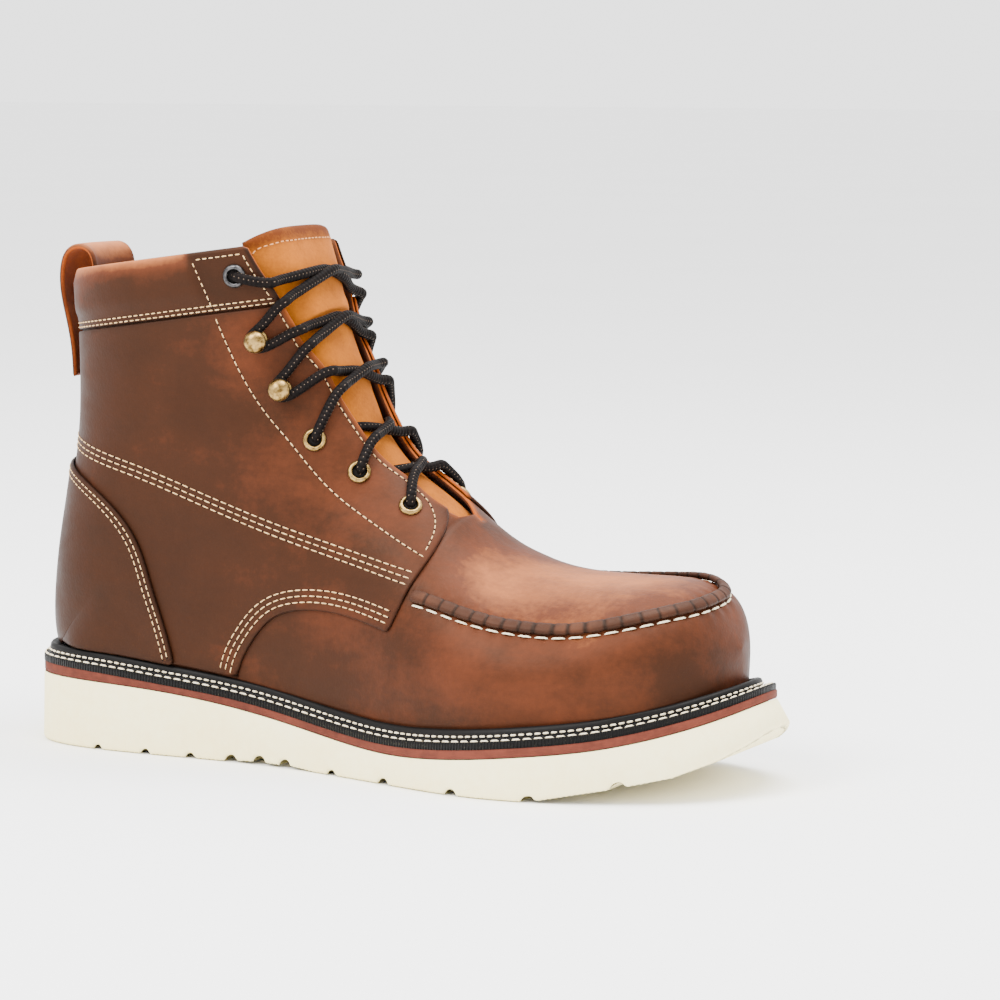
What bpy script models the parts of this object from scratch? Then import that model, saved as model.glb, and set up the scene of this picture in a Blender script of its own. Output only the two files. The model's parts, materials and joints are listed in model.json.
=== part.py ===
"""Moc toe work boot, right foot: a stitched leather upper on a welted wedge sole.

Boot axes in millimetres: x from the back of the heel to the toe, y positive on the inner side of the
foot, z up from the floor. Every object hangs on one empty that puts the middle of the sole at the origin.
"""

import math

import bmesh
import bpy
import numpy as np
from mathutils import Vector
from mathutils.bvhtree import BVHTree

MM = 0.001
SLIP = 0.3                # gap between pieces that touch

# Driving sizes, in millimetres
LENGTH = 309.0            # outsole, heel to toe
WALL = 2.0                # leather of the upper
PANEL = 1.2               # leather of the quarters, counters and backstay
SECOND_LAYER = 2.15       # underside of the counters and the backstay over the upper
COLLAR_PAD = 2.3          # padded collar band
BACKSTAY_HALF = 6.0
INSOLE = 4.0
INSOLE_CLEAR = 2.0        # insole to the inside of the upper
TONGUE = 2.6
TONGUE_CLEAR = 1.8        # tongue to the inside of the upper
WELT_BEAD = 7.0           # top of the welt's bead over the midsole
FEATHER_LIFT = 0.8        # lower edge of the upper over the midsole
EDGE_ROUND = 1.6          # rounding at the foot of the outsole

INNER, OUTER = 1, -1      # sides of the boot, as the sign of y
OUTWARD, MIDDLE, INWARD = 1, 0, -1

# Outline of the sole: half-widths to the outer and the inner side
OUTLINE_HEEL = (0.0, 0.0)
OUTLINE_TOE = (LENGTH, 3.0)
OUTLINE = [
    # x, outer, inner
    (8, 29.5, 29.0),
    (22, 37.0, 36.5),
    (45, 40.3, 39.3),
    (90, 39.5, 35.5),
    (120, 40.5, 32.5),
    (150, 46.5, 34.5),
    (180, 54.5, 42.5),
    (212, 60.5, 52.0),
    (240, 58.0, 54.4),
    (265, 49.5, 49.0),
    (285, 38.3, 41.0),
    (300, 23.4, 29.6),
]

# Tread line: flat from the heel to the ball with a slight lift under the arch, then the toe spring
TREAD = [
    # x, height
    (0, 0.0),
    (96, 0.0),
    (106, 0.8),
    (128, 0.8),
    (138, 0.0),
    (236, 0.0),
    (248, 2.4),
    (262, 5.0),
    (284, 9.6),
    (297, 15.0),
    (304, 19.6),
    (LENGTH, 24.6),
]

# Lines along the side of the sole: tops of the outsole and of the midsole
SIDE_LINES = [
    # x, outsole, midsole
    (0, 27.2, 31.6),
    (40, 26.5, 30.3),
    (70, 24.8, 27.7),
    (100, 21.2, 24.4),
    (128, 16.8, 20.0),
    (150, 13.6, 16.9),
    (176, 11.6, 15.1),
    (200, 12.8, 16.4),
    (235, 16.6, 20.2),
    (262, 20.3, 24.0),
    (284, 25.6, 29.3),
    (300, 31.4, 34.9),
    (LENGTH, 35.8, 39.1),
]

# Tread notches: places along the sole, and the rounds that cut them
NOTCHES = [
    # x, radius
    (39, 2.2),
    (61, 2.4),
    (81, 2.4),
    (99, 3.0),
    (112, 3.2),
    (124, 3.0),
    (147, 2.4),
    (173, 2.8),
    (205, 2.8),
    (236, 2.8),
    (267, 2.8),
]
NOTCH_DEPTH = 0.85        # share of the radius
NOTCH_SIDES = 10
TOE_FLARE = 4.0           # the tread reaches this far past the layers over it at the toe
FLARE_RUN = (258.0, 300.0)

# Sections of the upper, fanned from the toe to the collar. Each lies between a point on the top or front line
# and a point on the lower edge or back line; where base_z is None the point is on the sole.
# axis: y of the crown. outer, inner: reach from the crown. tuck: share of the reach left at the lower edge.
# waist: height of the widest place as a share. square: fullness of the shoulders and of the part below the waist.
# throat: half the opening.
SECTIONS = [
    # top_x, top_z, base_x, base_z, axis, outer, inner, tuck, waist, square_outer, square_inner, square_low, throat
    (293.0, 52.0, 291.6, None, 5.0, 0.0, 0.0, 0.91, 0.40, 2.4, 2.6, 2.3, -40),
    (290.6, 58.3, 289.2, None, 5.0, 16.5, 14.0, 0.91, 0.40, 2.4, 2.6, 2.3, -40),
    (285.0, 68.6, 283.5, None, 5.5, 29.5, 25.0, 0.91, 0.40, 2.3, 2.6, 2.3, -40),
    (275.4, 74.2, 274.0, None, 6.0, 41.0, 34.0, 0.92, 0.40, 2.2, 2.6, 2.3, -40),
    (260.0, 75.7, 259.2, None, 6.5, 51.0, 40.0, 0.93, 0.38, 2.1, 2.5, 2.3, -40),
    (239.6, 75.6, 239.6, None, 7.0, 57.4, 41.5, 0.93, 0.36, 2.0, 2.5, 2.3, -40),
    (216.0, 77.6, 217.0, None, 7.0, 60.2, 39.5, 0.93, 0.34, 2.0, 2.4, 2.3, -30),
    (196.0, 85.2, 197.0, None, 6.0, 57.6, 35.5, 0.92, 0.33, 2.0, 2.3, 2.3, -12),
    (179.0, 99.0, 170.0, None, 4.0, 49.5, 32.5, 0.91, 0.31, 2.1, 2.2, 2.3, 8),
    (165.0, 110.0, 132.0, None, 2.0, 39.5, 31.0, 0.88, 0.33, 2.3, 2.3, 2.4, 11),
    (153.0, 119.5, 92.0, None, 0.5, 35.2, 32.0, 0.86, 0.36, 2.5, 2.5, 2.6, 13),
    (143.5, 133.0, 56.0, None, 0.0, 34.6, 33.8, 0.87, 0.40, 2.7, 2.7, 2.9, 15),
    (137.5, 146.0, 31.0, None, 0.0, 34.6, 34.1, 0.79, 0.42, 2.8, 2.8, 3.0, 17),
    (133.5, 156.0, 16.6, None, 0.0, 34.8, 34.3, 0.53, 0.43, 3.0, 3.0, 3.1, 19),
    (131.0, 164.0, 10.8, 33.5, 0.0, 35.0, 34.5, 0.0, 0.44, 3.0, 3.0, 3.1, 21.5),
    (129.5, 172.5, 7.4, 56.0, 0.0, 35.4, 34.9, 0.0, 0.44, 3.0, 3.0, 2.8, 24),
    (128.5, 180.5, 11.8, 90.0, 0.0, 36.0, 35.5, 0.0, 0.44, 3.0, 3.0, 2.55, 26.5),
    (128.0, 187.5, 16.6, 120.0, 0.0, 37.0, 36.5, 0.0, 0.45, 3.0, 3.0, 2.5, 29.4),
    (127.5, 194.0, 17.4, 151.0, 0.0, 38.0, 37.5, 0.0, 0.45, 3.0, 3.0, 2.4, 32.4),
    (127.0, 200.3, 16.2, 185.2, 0.0, 39.0, 38.5, 0.0, 0.45, 3.0, 3.0, 2.4, 35.0),
]
HEEL_ROW = 14             # from here on the sections close at the back
STATION_STEPS = 2         # grid rows for each section row
COLUMNS = 8               # grid columns from crown to lower edge
LOWER_EDGE_TOP = 60.0     # the lower edge of the upper is below this, its throat above
SKIRT = 12.0              # depth of the closed forms below the lower edge

# Section of the welt: a flat strip, and a bead against the upper, which trims its inner side
WELT_PROFILE = [
    # inset from the outline, height over the midsole
    (0.9, SLIP),
    (0.9, 2.2),
    (1.6, 2.9),
    (4.9, 2.9),
    (5.3, 5.4),
    (6.3, WELT_BEAD),
    (11.5, WELT_BEAD),
    (15.0, SLIP),
]
WELT_WIDTHS = [
    # x, share of the insets
    (0, 0.55),
    (40, 0.80),
    (120, 0.95),
    (250, 1.0),
    (LENGTH, 1.25),
]

# Tongue: section rows, counted on past the collar, and half its width along the section
COLLAR_ROW = len(SECTIONS) - 1
TONGUE_TOP = 20.0
TONGUE_DOME = 0.9         # rows by which its corners stay lower
TONGUE_RISE = 3.6         # height for a row past the collar
TONGUE_COLUMNS = 3
TONGUE_ROWS = 23
TONGUE_WIDTHS = [
    # row, half width
    (6.5, 14),
    (8.5, 26),
    (11.5, 33),
    (14.5, 37),
    (16.5, 40),
    (18.5, 42),
]
TONGUE_SIDE_LEAN = 0.55    # share of the lean left at its sides
TONGUE_SETBACK = [
    # row, how far its middle leans back from the crown line
    (12, 0),
    (15, 2),
    (17, 6),
    (19, 11),
    (20, 13),
]

# Panels over the upper, by their edges seen from the side
COLLAR_SEAM = (158.8, 0.1425)    # height over the back of the heel, and its rise for each millimetre forward
BEHIND, AHEAD, ABOVE, FAR = -20.0, 200.0, 240.0, 100.0    # limits well clear of the boot
BACKSTAY_FRONT = 50.0
QUARTER_FRONT = [
    # x, z
    (150, 125),
    (168, 108),
    (176.4, 100),
    (181.2, 92),
    (181.8, 84),
    (178.8, 74.7),
    (174.6, 64),
    (171, 55.6),
]
WING_EDGE = [
    # x, z
    (171, 55.6),
    (150, 59.7),
    (129, 60.2),
    (116.5, 56.4),
    (107.5, 47.3),
    (101, 36),
    (98.5, 20),
]
COUNTER_EDGE = [
    # x, z
    (BEHIND, 117),
    (8, 113.5),
    (26.5, 107.6),
    (44.3, 97.2),
    (56.3, 83.6),
    (63.6, 64.2),
    (69.2, 49),
    (71.8, 38.6),
    (74, 20),
]

# Raised seam around the toe, seen from above, and its section
SEAM_TOE = (283.4, 3.5)
SEAM = [
    # x, outer, inner
    (179.5, 40.2, 32.8),
    (211, 41.8, 34.0),
    (231, 41.2, 33.5),
    (246.5, 39.2, 31.5),
    (261.5, 33.8, 27.5),
    (273.8, 24.6, 20.5),
    (281, 13.6, 14.0),
]
SEAM_STEPS = 40
SEAM_PROFILE = [
    # across, height
    (-2.6, 0.8),
    (-1.7, 2.1),
    (0.0, 2.7),
    (1.7, 2.1),
    (2.6, 0.8),
]

# Pull loop: middle of the strap from its outer to its inner end
LOOP_HALF = 15.0
LOOP_THICK = 2.0
LOOP_STEPS = 15
LOOP_COLUMNS = 4
BACK_RADIUS = 50.0        # curve of the back of the collar across the boot
LOOP_PATH = [
    # x, z
    (12.0, 143),
    (11.3, 154),
    (9.0, 166),
    (6.8, 176),
    (6.6, 185),
    (9.2, 191.8),
    (14.3, 194.2),
    (19.2, 192.6),
    (21.6, 187),
    (21.5, 177),
    (21.2, 167),
]

# Eyelets and hooks, from the toe up, seen from the side
EYES = [
    # x, z, kind
    (167.5, 99.7, "eyelet"),
    (146.6, 112.0, "eyelet"),
    (130.0, 124.1, "eyelet"),
    (117.4, 142.7, "hook"),
    (108.4, 161.9, "hook"),
    (101.2, 186.1, "eyelet"),
]
EYELET_RING = 3.5         # middle of the ring to the middle of its wire
EYELET_WIRE = 1.0
FITTING_LIFT = 0.5        # foot of the eyelets and hooks over the leather
HOOK_PROFILE = [
    # radius, height
    (0.0, 9.2),
    (2.6, 8.4),
    (3.9, 6.2),
    (3.5, 4.2),
    (2.0, 3.0),
    (2.0, 1.2),
    (4.0, 1.0),
    (4.0, 0.0),
    (0.0, 0.0),
]

# Lace: strands from each eye over a crossing to the next eye on the other side
LACE_RADIUS = 2.0
LACE_STEPS = 7
CROSSING_ROWS = (9.1, 10.4, 11.7, 13.5, 15.7)    # section rows of the crossings
CROSSING_LIFT = 1.8       # crossing over the crown line
EDGE_RISE = 5.6           # strand over the edge of the throat
EYE_CLEAR = {"eyelet": 5.2, "hook": 7.8}         # end of a strand to the middle of its eye
THROAT_ROW = 8.0
UNDER_EYES = (1, 2)       # eyes that a strand reaches from below the leather
UNDER_EDGE = 2.9          # end of a strand short of the far edge of the throat


def natural_spline(knots, values):
    """Natural cubic spline through rows of values, as a function of the knot parameter."""
    knots = np.asarray(knots, float)
    values = np.asarray(values, float)
    gap = np.diff(knots)
    last = len(knots) - 1
    system = np.eye(last + 1)
    right = np.zeros_like(values)
    for i in range(1, last):
        system[i, i - 1:i + 2] = gap[i - 1], 2 * (gap[i - 1] + gap[i]), gap[i]
        right[i] = 6 * ((values[i + 1] - values[i]) / gap[i] - (values[i] - values[i - 1]) / gap[i - 1])
    bend = np.linalg.solve(system, right)

    def at(t):
        t = np.asarray(t, float)
        i = np.clip(np.searchsorted(knots, t) - 1, 0, last - 1)
        width = gap[i][..., None]
        a = (knots[i + 1] - t)[..., None] / width
        b = 1 - a
        curve = (a ** 3 - a) * bend[i] + (b ** 3 - b) * bend[i + 1]
        return a * values[i] + b * values[i + 1] + curve * width ** 2 / 6

    return at


def chord_knots(points):
    """Running distance along rows of points."""
    steps = np.linalg.norm(np.diff(points, axis=0), axis=1)
    return np.concatenate([[0.0], np.cumsum(steps)])


def outline_curve(samples=720):
    """Dense closed outline of the sole, from the heel along the outer side, with its outward normals."""
    outer = [(x, -y) for x, y, _ in OUTLINE]
    inner = [(x, y) for x, _, y in reversed(OUTLINE)]
    loop = [OUTLINE_HEEL, *outer, OUTLINE_TOE, *inner]
    wrap = 4
    points = np.array(loop[-wrap:] + loop + loop[:wrap], float)
    knots = chord_knots(points)
    curve = natural_spline(knots, points)
    t = np.linspace(knots[wrap], knots[wrap + len(loop)], samples, endpoint=False)
    place = curve(t)
    along = curve(t + 0.01) - curve(t - 0.01)
    normal = np.stack([along[:, 1], -along[:, 0]], axis=1)
    normal /= np.linalg.norm(normal, axis=1)[:, None]
    return place, normal


OUTLINE_POINTS, OUTLINE_NORMALS = outline_curve()
ORIGIN_Y = (OUTLINE_POINTS[:, 1].min() + OUTLINE_POINTS[:, 1].max()) / 2


def sole_sides(inset, narrowed=False, flared=False, count=22):
    """Outer and inner points of the outline set in by a distance, at the same places along the sole."""
    along = OUTLINE_POINTS[:, 0]
    if narrowed:
        inset = inset * np.interp(along, *np.transpose(WELT_WIDTHS))[:, None]
    if not flared:
        inset = inset + TOE_FLARE * np.interp(along, FLARE_RUN, (0, 1))[:, None]
    points = OUTLINE_POINTS - OUTLINE_NORMALS * inset
    heel = points[:, 0].argmin()
    points = np.roll(points, -heel, axis=0)
    toe = points[:, 0].argmax()
    outer = points[:toe + 1]
    inner = np.vstack([points[toe:], points[:1]])[::-1]
    x = points[0, 0] + (points[toe, 0] - points[0, 0]) * (1 - np.cos(np.linspace(0, math.pi, count))) / 2
    return x, np.interp(x, outer[:, 0], outer[:, 1]), np.interp(x, inner[:, 0], inner[:, 1])


SIDE_AT = natural_spline([row[0] for row in SIDE_LINES], [row[1:] for row in SIDE_LINES])


def side_line(name, x):
    """Height of a line along the side of the sole."""
    if name == "tread":
        return np.interp(x, *np.transpose(TREAD))
    return SIDE_AT(np.clip(x, 0, LENGTH))[..., ("outsole", "midsole").index(name)]


def section_rows():
    """Section table with the sole heights filled in, and mirrored past the toe so that it closes round."""
    rows = []
    for row in SECTIONS:
        base_z = row[3]
        if base_z is None:
            base_z = float(side_line("midsole", row[2])) + FEATHER_LIFT
        rows.append((*row[:3], base_z, *row[4:]))
    rows = np.array(rows, float)
    beyond = rows[2:0:-1].copy()
    beyond[:, 5:7] *= -1
    return np.vstack([beyond, rows])


SECTION_ROWS = section_rows()
SECTION_KNOTS = chord_knots(SECTION_ROWS[:, :7])
SECTION_AT = natural_spline(SECTION_KNOTS, SECTION_ROWS)
FIRST_ROW = 2             # the toe, after the mirrored rows


def station(row):
    """Curve parameter of a section row, also between rows."""
    return np.interp(row + FIRST_ROW, np.arange(len(SECTION_KNOTS)), SECTION_KNOTS)


def section_curve(t, side, samples=120):
    """Points of one half section from the crown to the lower edge, without the throat."""
    (top_x, top_z, base_x, base_z, axis, outer, inner, tuck, waist,
     square_outer, square_inner, square_low, _) = SECTION_AT(t)
    reach = inner if side == INNER else outer
    square = square_inner if side == INNER else square_outer
    tuck = 0.0 if t >= station(HEEL_ROW) else max(tuck, 0.0)
    angle = np.linspace(0, math.pi / 2, samples)
    sine = np.clip(np.sin(angle), 0, 1)
    cosine = np.clip(np.cos(angle), 0, 1)
    height = np.concatenate([waist + (1 - waist) * cosine ** (2 / square),
                             waist * (1 - sine[1:] ** (2 / square_low))])
    width = np.concatenate([sine ** (2 / square),
                            tuck + (1 - tuck) * cosine[1:] ** (2 / square_low)])
    x = base_x + (top_x - base_x) * height
    y = axis + side * max(reach, 0.0) * width
    z = base_z + (top_z - base_z) * height
    return np.stack([x, y, z], axis=1)


def along_curve(points, start, stop, count):
    """Evenly spaced points along a curve between two of its lengths."""
    length = chord_knots(points)
    at = np.linspace(start, stop, count)
    return np.stack([np.interp(at, length, points[:, k]) for k in range(3)], axis=1)


def half_section(t, side):
    """Grid points of one half section, from the throat edge or the crown to the lower edge."""
    points = section_curve(t, side)
    length = chord_knots(points)
    throat = SECTION_AT(t)[-1]
    start = 0.0
    if throat > 0:
        widest = np.abs(points[:, 1]).argmax()
        start = np.interp(throat, np.abs(points[:widest + 1, 1]), length[:widest + 1])
    return along_curve(points, start, length[-1], COLUMNS + 1)


def upper_surface(offset=0.0):
    """Outer surface of the upper as an open mesh, moved out by an offset."""
    bm = bmesh.new()
    stations = station(np.linspace(0, len(SECTIONS) - 1, STATION_STEPS * (len(SECTIONS) - 1) + 1))
    for side in (OUTER, INNER):
        grid = [[bm.verts.new(p * MM) for p in half_section(t, side)] for t in stations]
        for low, high in zip(grid, grid[1:]):
            for k in range(COLUMNS):
                corners = [low[k], low[k + 1], high[k + 1], high[k]]
                bm.faces.new(corners if side == INNER else corners[::-1])
    bmesh.ops.remove_doubles(bm, verts=bm.verts, dist=1e-5)
    bmesh.ops.triangulate(bm, faces=bm.faces)
    bm.normal_update()
    for vert, normal in [(v, v.normal.copy()) for v in bm.verts]:
        vert.co += normal * offset * MM
    return bm


def closed_form(offset):
    """Solid inside of the upper's surface moved out by an offset, reaching down past the midsole."""
    bm = upper_surface(offset)
    edges = [e for e in bm.edges if e.is_boundary]
    low = [e for e in edges if all(v.co.z < LOWER_EDGE_TOP * MM for v in e.verts)]
    skirt = bmesh.ops.extrude_edge_only(bm, edges=low)["geom"]
    for vert in (g for g in skirt if isinstance(g, bmesh.types.BMVert)):
        vert.co.z -= SKIRT * MM
    edges = [e for e in bm.edges if e.is_boundary]
    for high in (False, True):
        loop = [e for e in edges if (e.verts[0].co.z > LOWER_EDGE_TOP * MM) == high]
        verts = {v for e in loop for v in e.verts}
        middle = bm.verts.new(sum((v.co for v in verts), Vector()) / len(verts))
        for edge in loop:
            bm.faces.new((edge.verts[0], edge.verts[1], middle))
    bmesh.ops.recalc_face_normals(bm, faces=bm.faces)
    return bm


def clear_scene():
    for obj in list(bpy.data.objects):
        bpy.data.objects.remove(obj, do_unlink=True)


def new_collection(name):
    collection = bpy.data.collections.new(name)
    bpy.context.scene.collection.children.link(collection)
    return collection


clear_scene()
BOOT = new_collection("moc_toe_work_boot")
CUTTERS = new_collection("cutters")
PLACE = bpy.data.objects.new("boot_place", None)
PLACE.location = (-LENGTH / 2 * MM, -ORIGIN_Y * MM, 0)
BOOT.objects.link(PLACE)


def material(name, colour, roughness, metallic=0.0):
    """Principled material of one kind of stock."""
    stock = bpy.data.materials.new(name)
    stock.use_nodes = True
    shader = stock.node_tree.nodes["Principled BSDF"]
    shader.inputs["Base Color"].default_value = (*colour, 1.0)
    shader.inputs["Roughness"].default_value = roughness
    shader.inputs["Metallic"].default_value = metallic
    return stock


LEATHER = material("brown_leather", (0.19, 0.075, 0.035), 0.55)
NUBUCK = material("tan_nubuck", (0.45, 0.19, 0.055), 0.85)
CREAM = material("cream_rubber", (0.80, 0.70, 0.50), 0.7)
RUST = material("rust_rubber", (0.36, 0.11, 0.06), 0.8)
BLACK = material("black_welt", (0.02, 0.018, 0.016), 0.5)
FOOTBED = material("footbed_leather", (0.40, 0.24, 0.13), 0.8)
BRASS = material("antique_brass", (0.33, 0.26, 0.14), 0.35, 1.0)
DARK_METAL = material("dark_metal", (0.05, 0.045, 0.045), 0.35, 1.0)
CORD = material("lace_cord", (0.03, 0.02, 0.015), 0.75)


def add_part(name, bm, stock):
    """Turn a bmesh into a named part of the boot."""
    mesh = bpy.data.meshes.new(name)
    bm.to_mesh(mesh)
    bm.free()
    mesh.shade_smooth()
    mesh.set_sharp_from_angle(angle=math.radians(40))
    mesh.materials.append(stock)
    obj = bpy.data.objects.new(name, mesh)
    obj.parent = PLACE
    BOOT.objects.link(obj)
    return obj


def add_cutter(name, bm):
    """Turn a bmesh into a hidden cutter."""
    mesh = bpy.data.meshes.new(name)
    bmesh.ops.recalc_face_normals(bm, faces=bm.faces)
    bm.to_mesh(mesh)
    bm.free()
    obj = bpy.data.objects.new(name, mesh)
    obj.parent = PLACE
    obj.hide_render = True
    obj.display_type = 'WIRE'
    CUTTERS.objects.link(obj)
    return obj


def cut(obj, cutter, operation):
    modifier = obj.modifiers.new(operation.lower(), 'BOOLEAN')
    modifier.operation = operation
    modifier.solver = 'EXACT'
    modifier.object = cutter


def thicken(obj, thickness, direction):
    modifier = obj.modifiers.new("wall", 'SOLIDIFY')
    modifier.thickness = thickness * MM
    modifier.offset = direction
    modifier.use_even_offset = True


def sole_loop(bm, inset, height, narrowed=False, flared=False):
    """Loop of vertices around the sole: set in from the outline, at a height for each place along it."""
    x, outer, inner = sole_sides(inset, narrowed, flared)
    z = height(x)
    there = [bm.verts.new((x[i] * MM, outer[i] * MM, z[i] * MM)) for i in range(len(x))]
    back = [bm.verts.new((x[i] * MM, inner[i] * MM, z[i] * MM)) for i in range(len(x) - 2, 0, -1)]
    return there + back


def bridge(bm, lower, upper):
    """Faces between two loops with as many vertices each."""
    count = len(lower)
    for i in range(count):
        j = (i + 1) % count
        bm.faces.new((lower[i], lower[j], upper[j], upper[i]))


def cap(bm, loop):
    """Strips across the sole from the outer to the inner side of a loop."""
    half = len(loop) // 2
    for i in range(half):
        corners = [loop[i], loop[i + 1], loop[-i - 1], loop[-i]]
        bm.faces.new(list(dict.fromkeys(corners)))


def slab(layers, flared=0):
    """Solid through loops around the sole, lowest first; the first few reach the full outline."""
    bm = bmesh.new()
    loops = [sole_loop(bm, inset, height, flared=k < flared) for k, (inset, height) in enumerate(layers)]
    for lower, upper in zip(loops, loops[1:]):
        bridge(bm, lower, upper)
    cap(bm, loops[0])
    cap(bm, loops[-1])
    bmesh.ops.recalc_face_normals(bm, faces=bm.faces)
    return bm


def above(name, lift):
    """Height function: a line along the side of the sole and a lift over it."""
    return lambda x: side_line(name, x) + lift


def make_outsole():
    outsole = add_part("outsole", slab([
        (EDGE_ROUND, above("tread", 0)),
        (0, above("tread", EDGE_ROUND)),
        (EDGE_ROUND / 2, above("outsole", 0)),
    ], flared=2), CREAM)
    notches = bmesh.new()
    for x, radius in NOTCHES:
        made = bmesh.ops.create_cone(notches, cap_ends=True, segments=NOTCH_SIDES, radius1=radius * MM,
                                     radius2=radius * MM, depth=LENGTH * MM)
        low = float(side_line("tread", x)) + (NOTCH_DEPTH - 1) * radius
        for vert in made["verts"]:
            across, up, along = vert.co
            vert.co = (x * MM + across, along, low * MM + up)
    cut(outsole, add_cutter("tread_notches", notches), 'DIFFERENCE')


def make_midsole():
    add_part("midsole", slab([
        (EDGE_ROUND / 2, above("outsole", SLIP)),
        (EDGE_ROUND / 2, above("midsole", 0)),
    ]), RUST)


def make_insole():
    insole = add_part("insole", slab([
        (0, above("midsole", SLIP)),
        (0, above("midsole", SLIP + INSOLE)),
    ]), FOOTBED)
    cut(insole, add_cutter("inside_of_upper", closed_form(-WALL - INSOLE_CLEAR)), 'INTERSECT')


def make_welt():
    bm = bmesh.new()
    loops = [sole_loop(bm, inset, above("midsole", lift), narrowed=True) for inset, lift in WELT_PROFILE]
    for lower, upper in zip(loops, loops[1:] + loops[:1]):
        bridge(bm, lower, upper)
    bmesh.ops.recalc_face_normals(bm, faces=bm.faces)
    welt = add_part("welt", bm, BLACK)
    cut(welt, add_cutter("outside_of_upper", closed_form(SLIP)), 'DIFFERENCE')


def make_upper():
    upper = add_part("upper", upper_surface(), LEATHER)
    thicken(upper, WALL, INWARD)


def make_tongue():
    bm = bmesh.new()
    start = TONGUE_WIDTHS[0][0]
    shares = np.linspace(-1, 1, 2 * TONGUE_COLUMNS + 1)
    tops = TONGUE_TOP - TONGUE_DOME * np.abs(shares) ** 3
    grid = []
    lean = {}
    for step in np.linspace(0, 1, TONGUE_ROWS):
        line = []
        for share, top in zip(shares, tops):
            row = start + (top - start) * step
            curve = section_curve(station(min(row, COLLAR_ROW)), OUTER if share < 0 else INNER)
            away = abs(share) * np.interp(row, *np.transpose(TONGUE_WIDTHS))
            point = along_curve(curve, away, away, 1)[0]
            rise = max(row - COLLAR_ROW, 0) * TONGUE_RISE
            vert = bm.verts.new((point + (0, 0, rise)) * MM)
            lean[vert] = np.interp(row, *np.transpose(TONGUE_SETBACK)) * (1 - (1 - TONGUE_SIDE_LEAN) * share ** 2)
            line.append(vert)
        grid.append(line)
    for low, high in zip(grid, grid[1:]):
        for k in range(2 * TONGUE_COLUMNS):
            bm.faces.new((low[k], low[k + 1], high[k + 1], high[k]))
    bm.normal_update()
    for vert, normal in [(v, v.normal.copy()) for v in bm.verts]:
        vert.co -= normal * (WALL + TONGUE_CLEAR) * MM
        vert.co.x -= lean[vert] * MM
    tongue = add_part("tongue", bm, NUBUCK)
    thicken(tongue, TONGUE, INWARD)


def smooth_path(points, count):
    """Evenly spaced points on a smooth curve through a few."""
    points = np.array(points, float)
    knots = chord_knots(points)
    return natural_spline(knots, points)(np.linspace(0, knots[-1], count))


def bead_top(x):
    """Height just over the welt's bead."""
    return side_line("midsole", x) + WELT_BEAD + 2 * SLIP


def along_bead(start):
    """Side-view path just over the welt's bead, from a place along the sole to behind the heel."""
    x = np.linspace(start, BEHIND, 16)
    return np.stack([x, bead_top(x)], axis=1)


def back_over_welt(path):
    """The part of a side-view path over the welt, carried back along the welt to behind the heel."""
    path = path[path[:, 1] > bead_top(path[:, 0])]
    return np.vstack([path, along_bead(path[-1, 0])])


def collar_line(x, lift):
    """Point on the seam under the collar band, seen from the side."""
    height, rise = COLLAR_SEAM
    return x, height + rise * x + lift


def prism(outline, low, high):
    """Solid of a side-view outline between two places across the boot."""
    bm = bmesh.new()
    near = [bm.verts.new((x * MM, low * MM, z * MM)) for x, z in outline]
    far = [bm.verts.new((x * MM, high * MM, z * MM)) for x, z in outline]
    bm.faces.new(near)
    bm.faces.new(far)
    bridge(bm, near, far)
    return bm


def panel(name, outline, across, offset, thickness):
    """Leather over the upper: a shell from its surface, trimmed to a side-view outline."""
    piece = add_part(name, upper_surface(offset), LEATHER)
    thicken(piece, thickness, OUTWARD)
    cut(piece, add_cutter(name + "_trim", prism(outline, *across)), 'INTERSECT')


def make_panels():
    quarter = np.vstack([smooth_path(QUARTER_FRONT, 10), smooth_path(WING_EDGE, 14)[1:]])
    quarter = np.vstack([back_over_welt(quarter), collar_line(BEHIND, -SLIP), collar_line(AHEAD, -SLIP)])
    counter = back_over_welt(smooth_path(COUNTER_EDGE, 14))
    strip = np.vstack([along_bead(BACKSTAY_FRONT), collar_line(BEHIND, -SLIP),
                       collar_line(BACKSTAY_FRONT, -SLIP)])
    collar = [collar_line(BEHIND, 0), collar_line(AHEAD, 0), (AHEAD, ABOVE), (BEHIND, ABOVE)]
    edge = BACKSTAY_HALF + SLIP
    panel("quarters", quarter, (-FAR, FAR), SLIP, PANEL)
    for side, across in (("outer", (-FAR, -edge)), ("inner", (edge, FAR))):
        panel("counter_" + side, counter, across, SECOND_LAYER, PANEL)
    panel("backstay", strip, (-BACKSTAY_HALF, BACKSTAY_HALF), SECOND_LAYER, PANEL)
    panel("collar_band", collar, (-FAR, FAR), SLIP, COLLAR_PAD)


def make_moc_seam():
    outer = [(x, -y) for x, y, _ in SEAM]
    inner = [(x, y) for x, _, y in reversed(SEAM)]
    plan = smooth_path([*outer, SEAM_TOE, *inner], SEAM_STEPS)
    surface = BVHTree.FromBMesh(upper_surface())
    hits = [surface.ray_cast(Vector((x * MM, y * MM, 1)), Vector((0, 0, -1))) for x, y in plan]
    bm = bmesh.new()
    loops = []
    for i, (place, normal, *_) in enumerate(hits):
        along = hits[min(i + 1, SEAM_STEPS - 1)][0] - hits[max(i - 1, 0)][0]
        across = along.cross(normal).normalized()
        loops.append([bm.verts.new(place + (across * a + normal * h) * MM) for a, h in SEAM_PROFILE])
    for low, high in zip(loops, loops[1:]):
        bridge(bm, low, high)
    bm.faces.new(loops[0])
    bm.faces.new(loops[-1])
    bmesh.ops.recalc_face_normals(bm, faces=bm.faces)
    add_part("moc_seam", bm, LEATHER)


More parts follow.
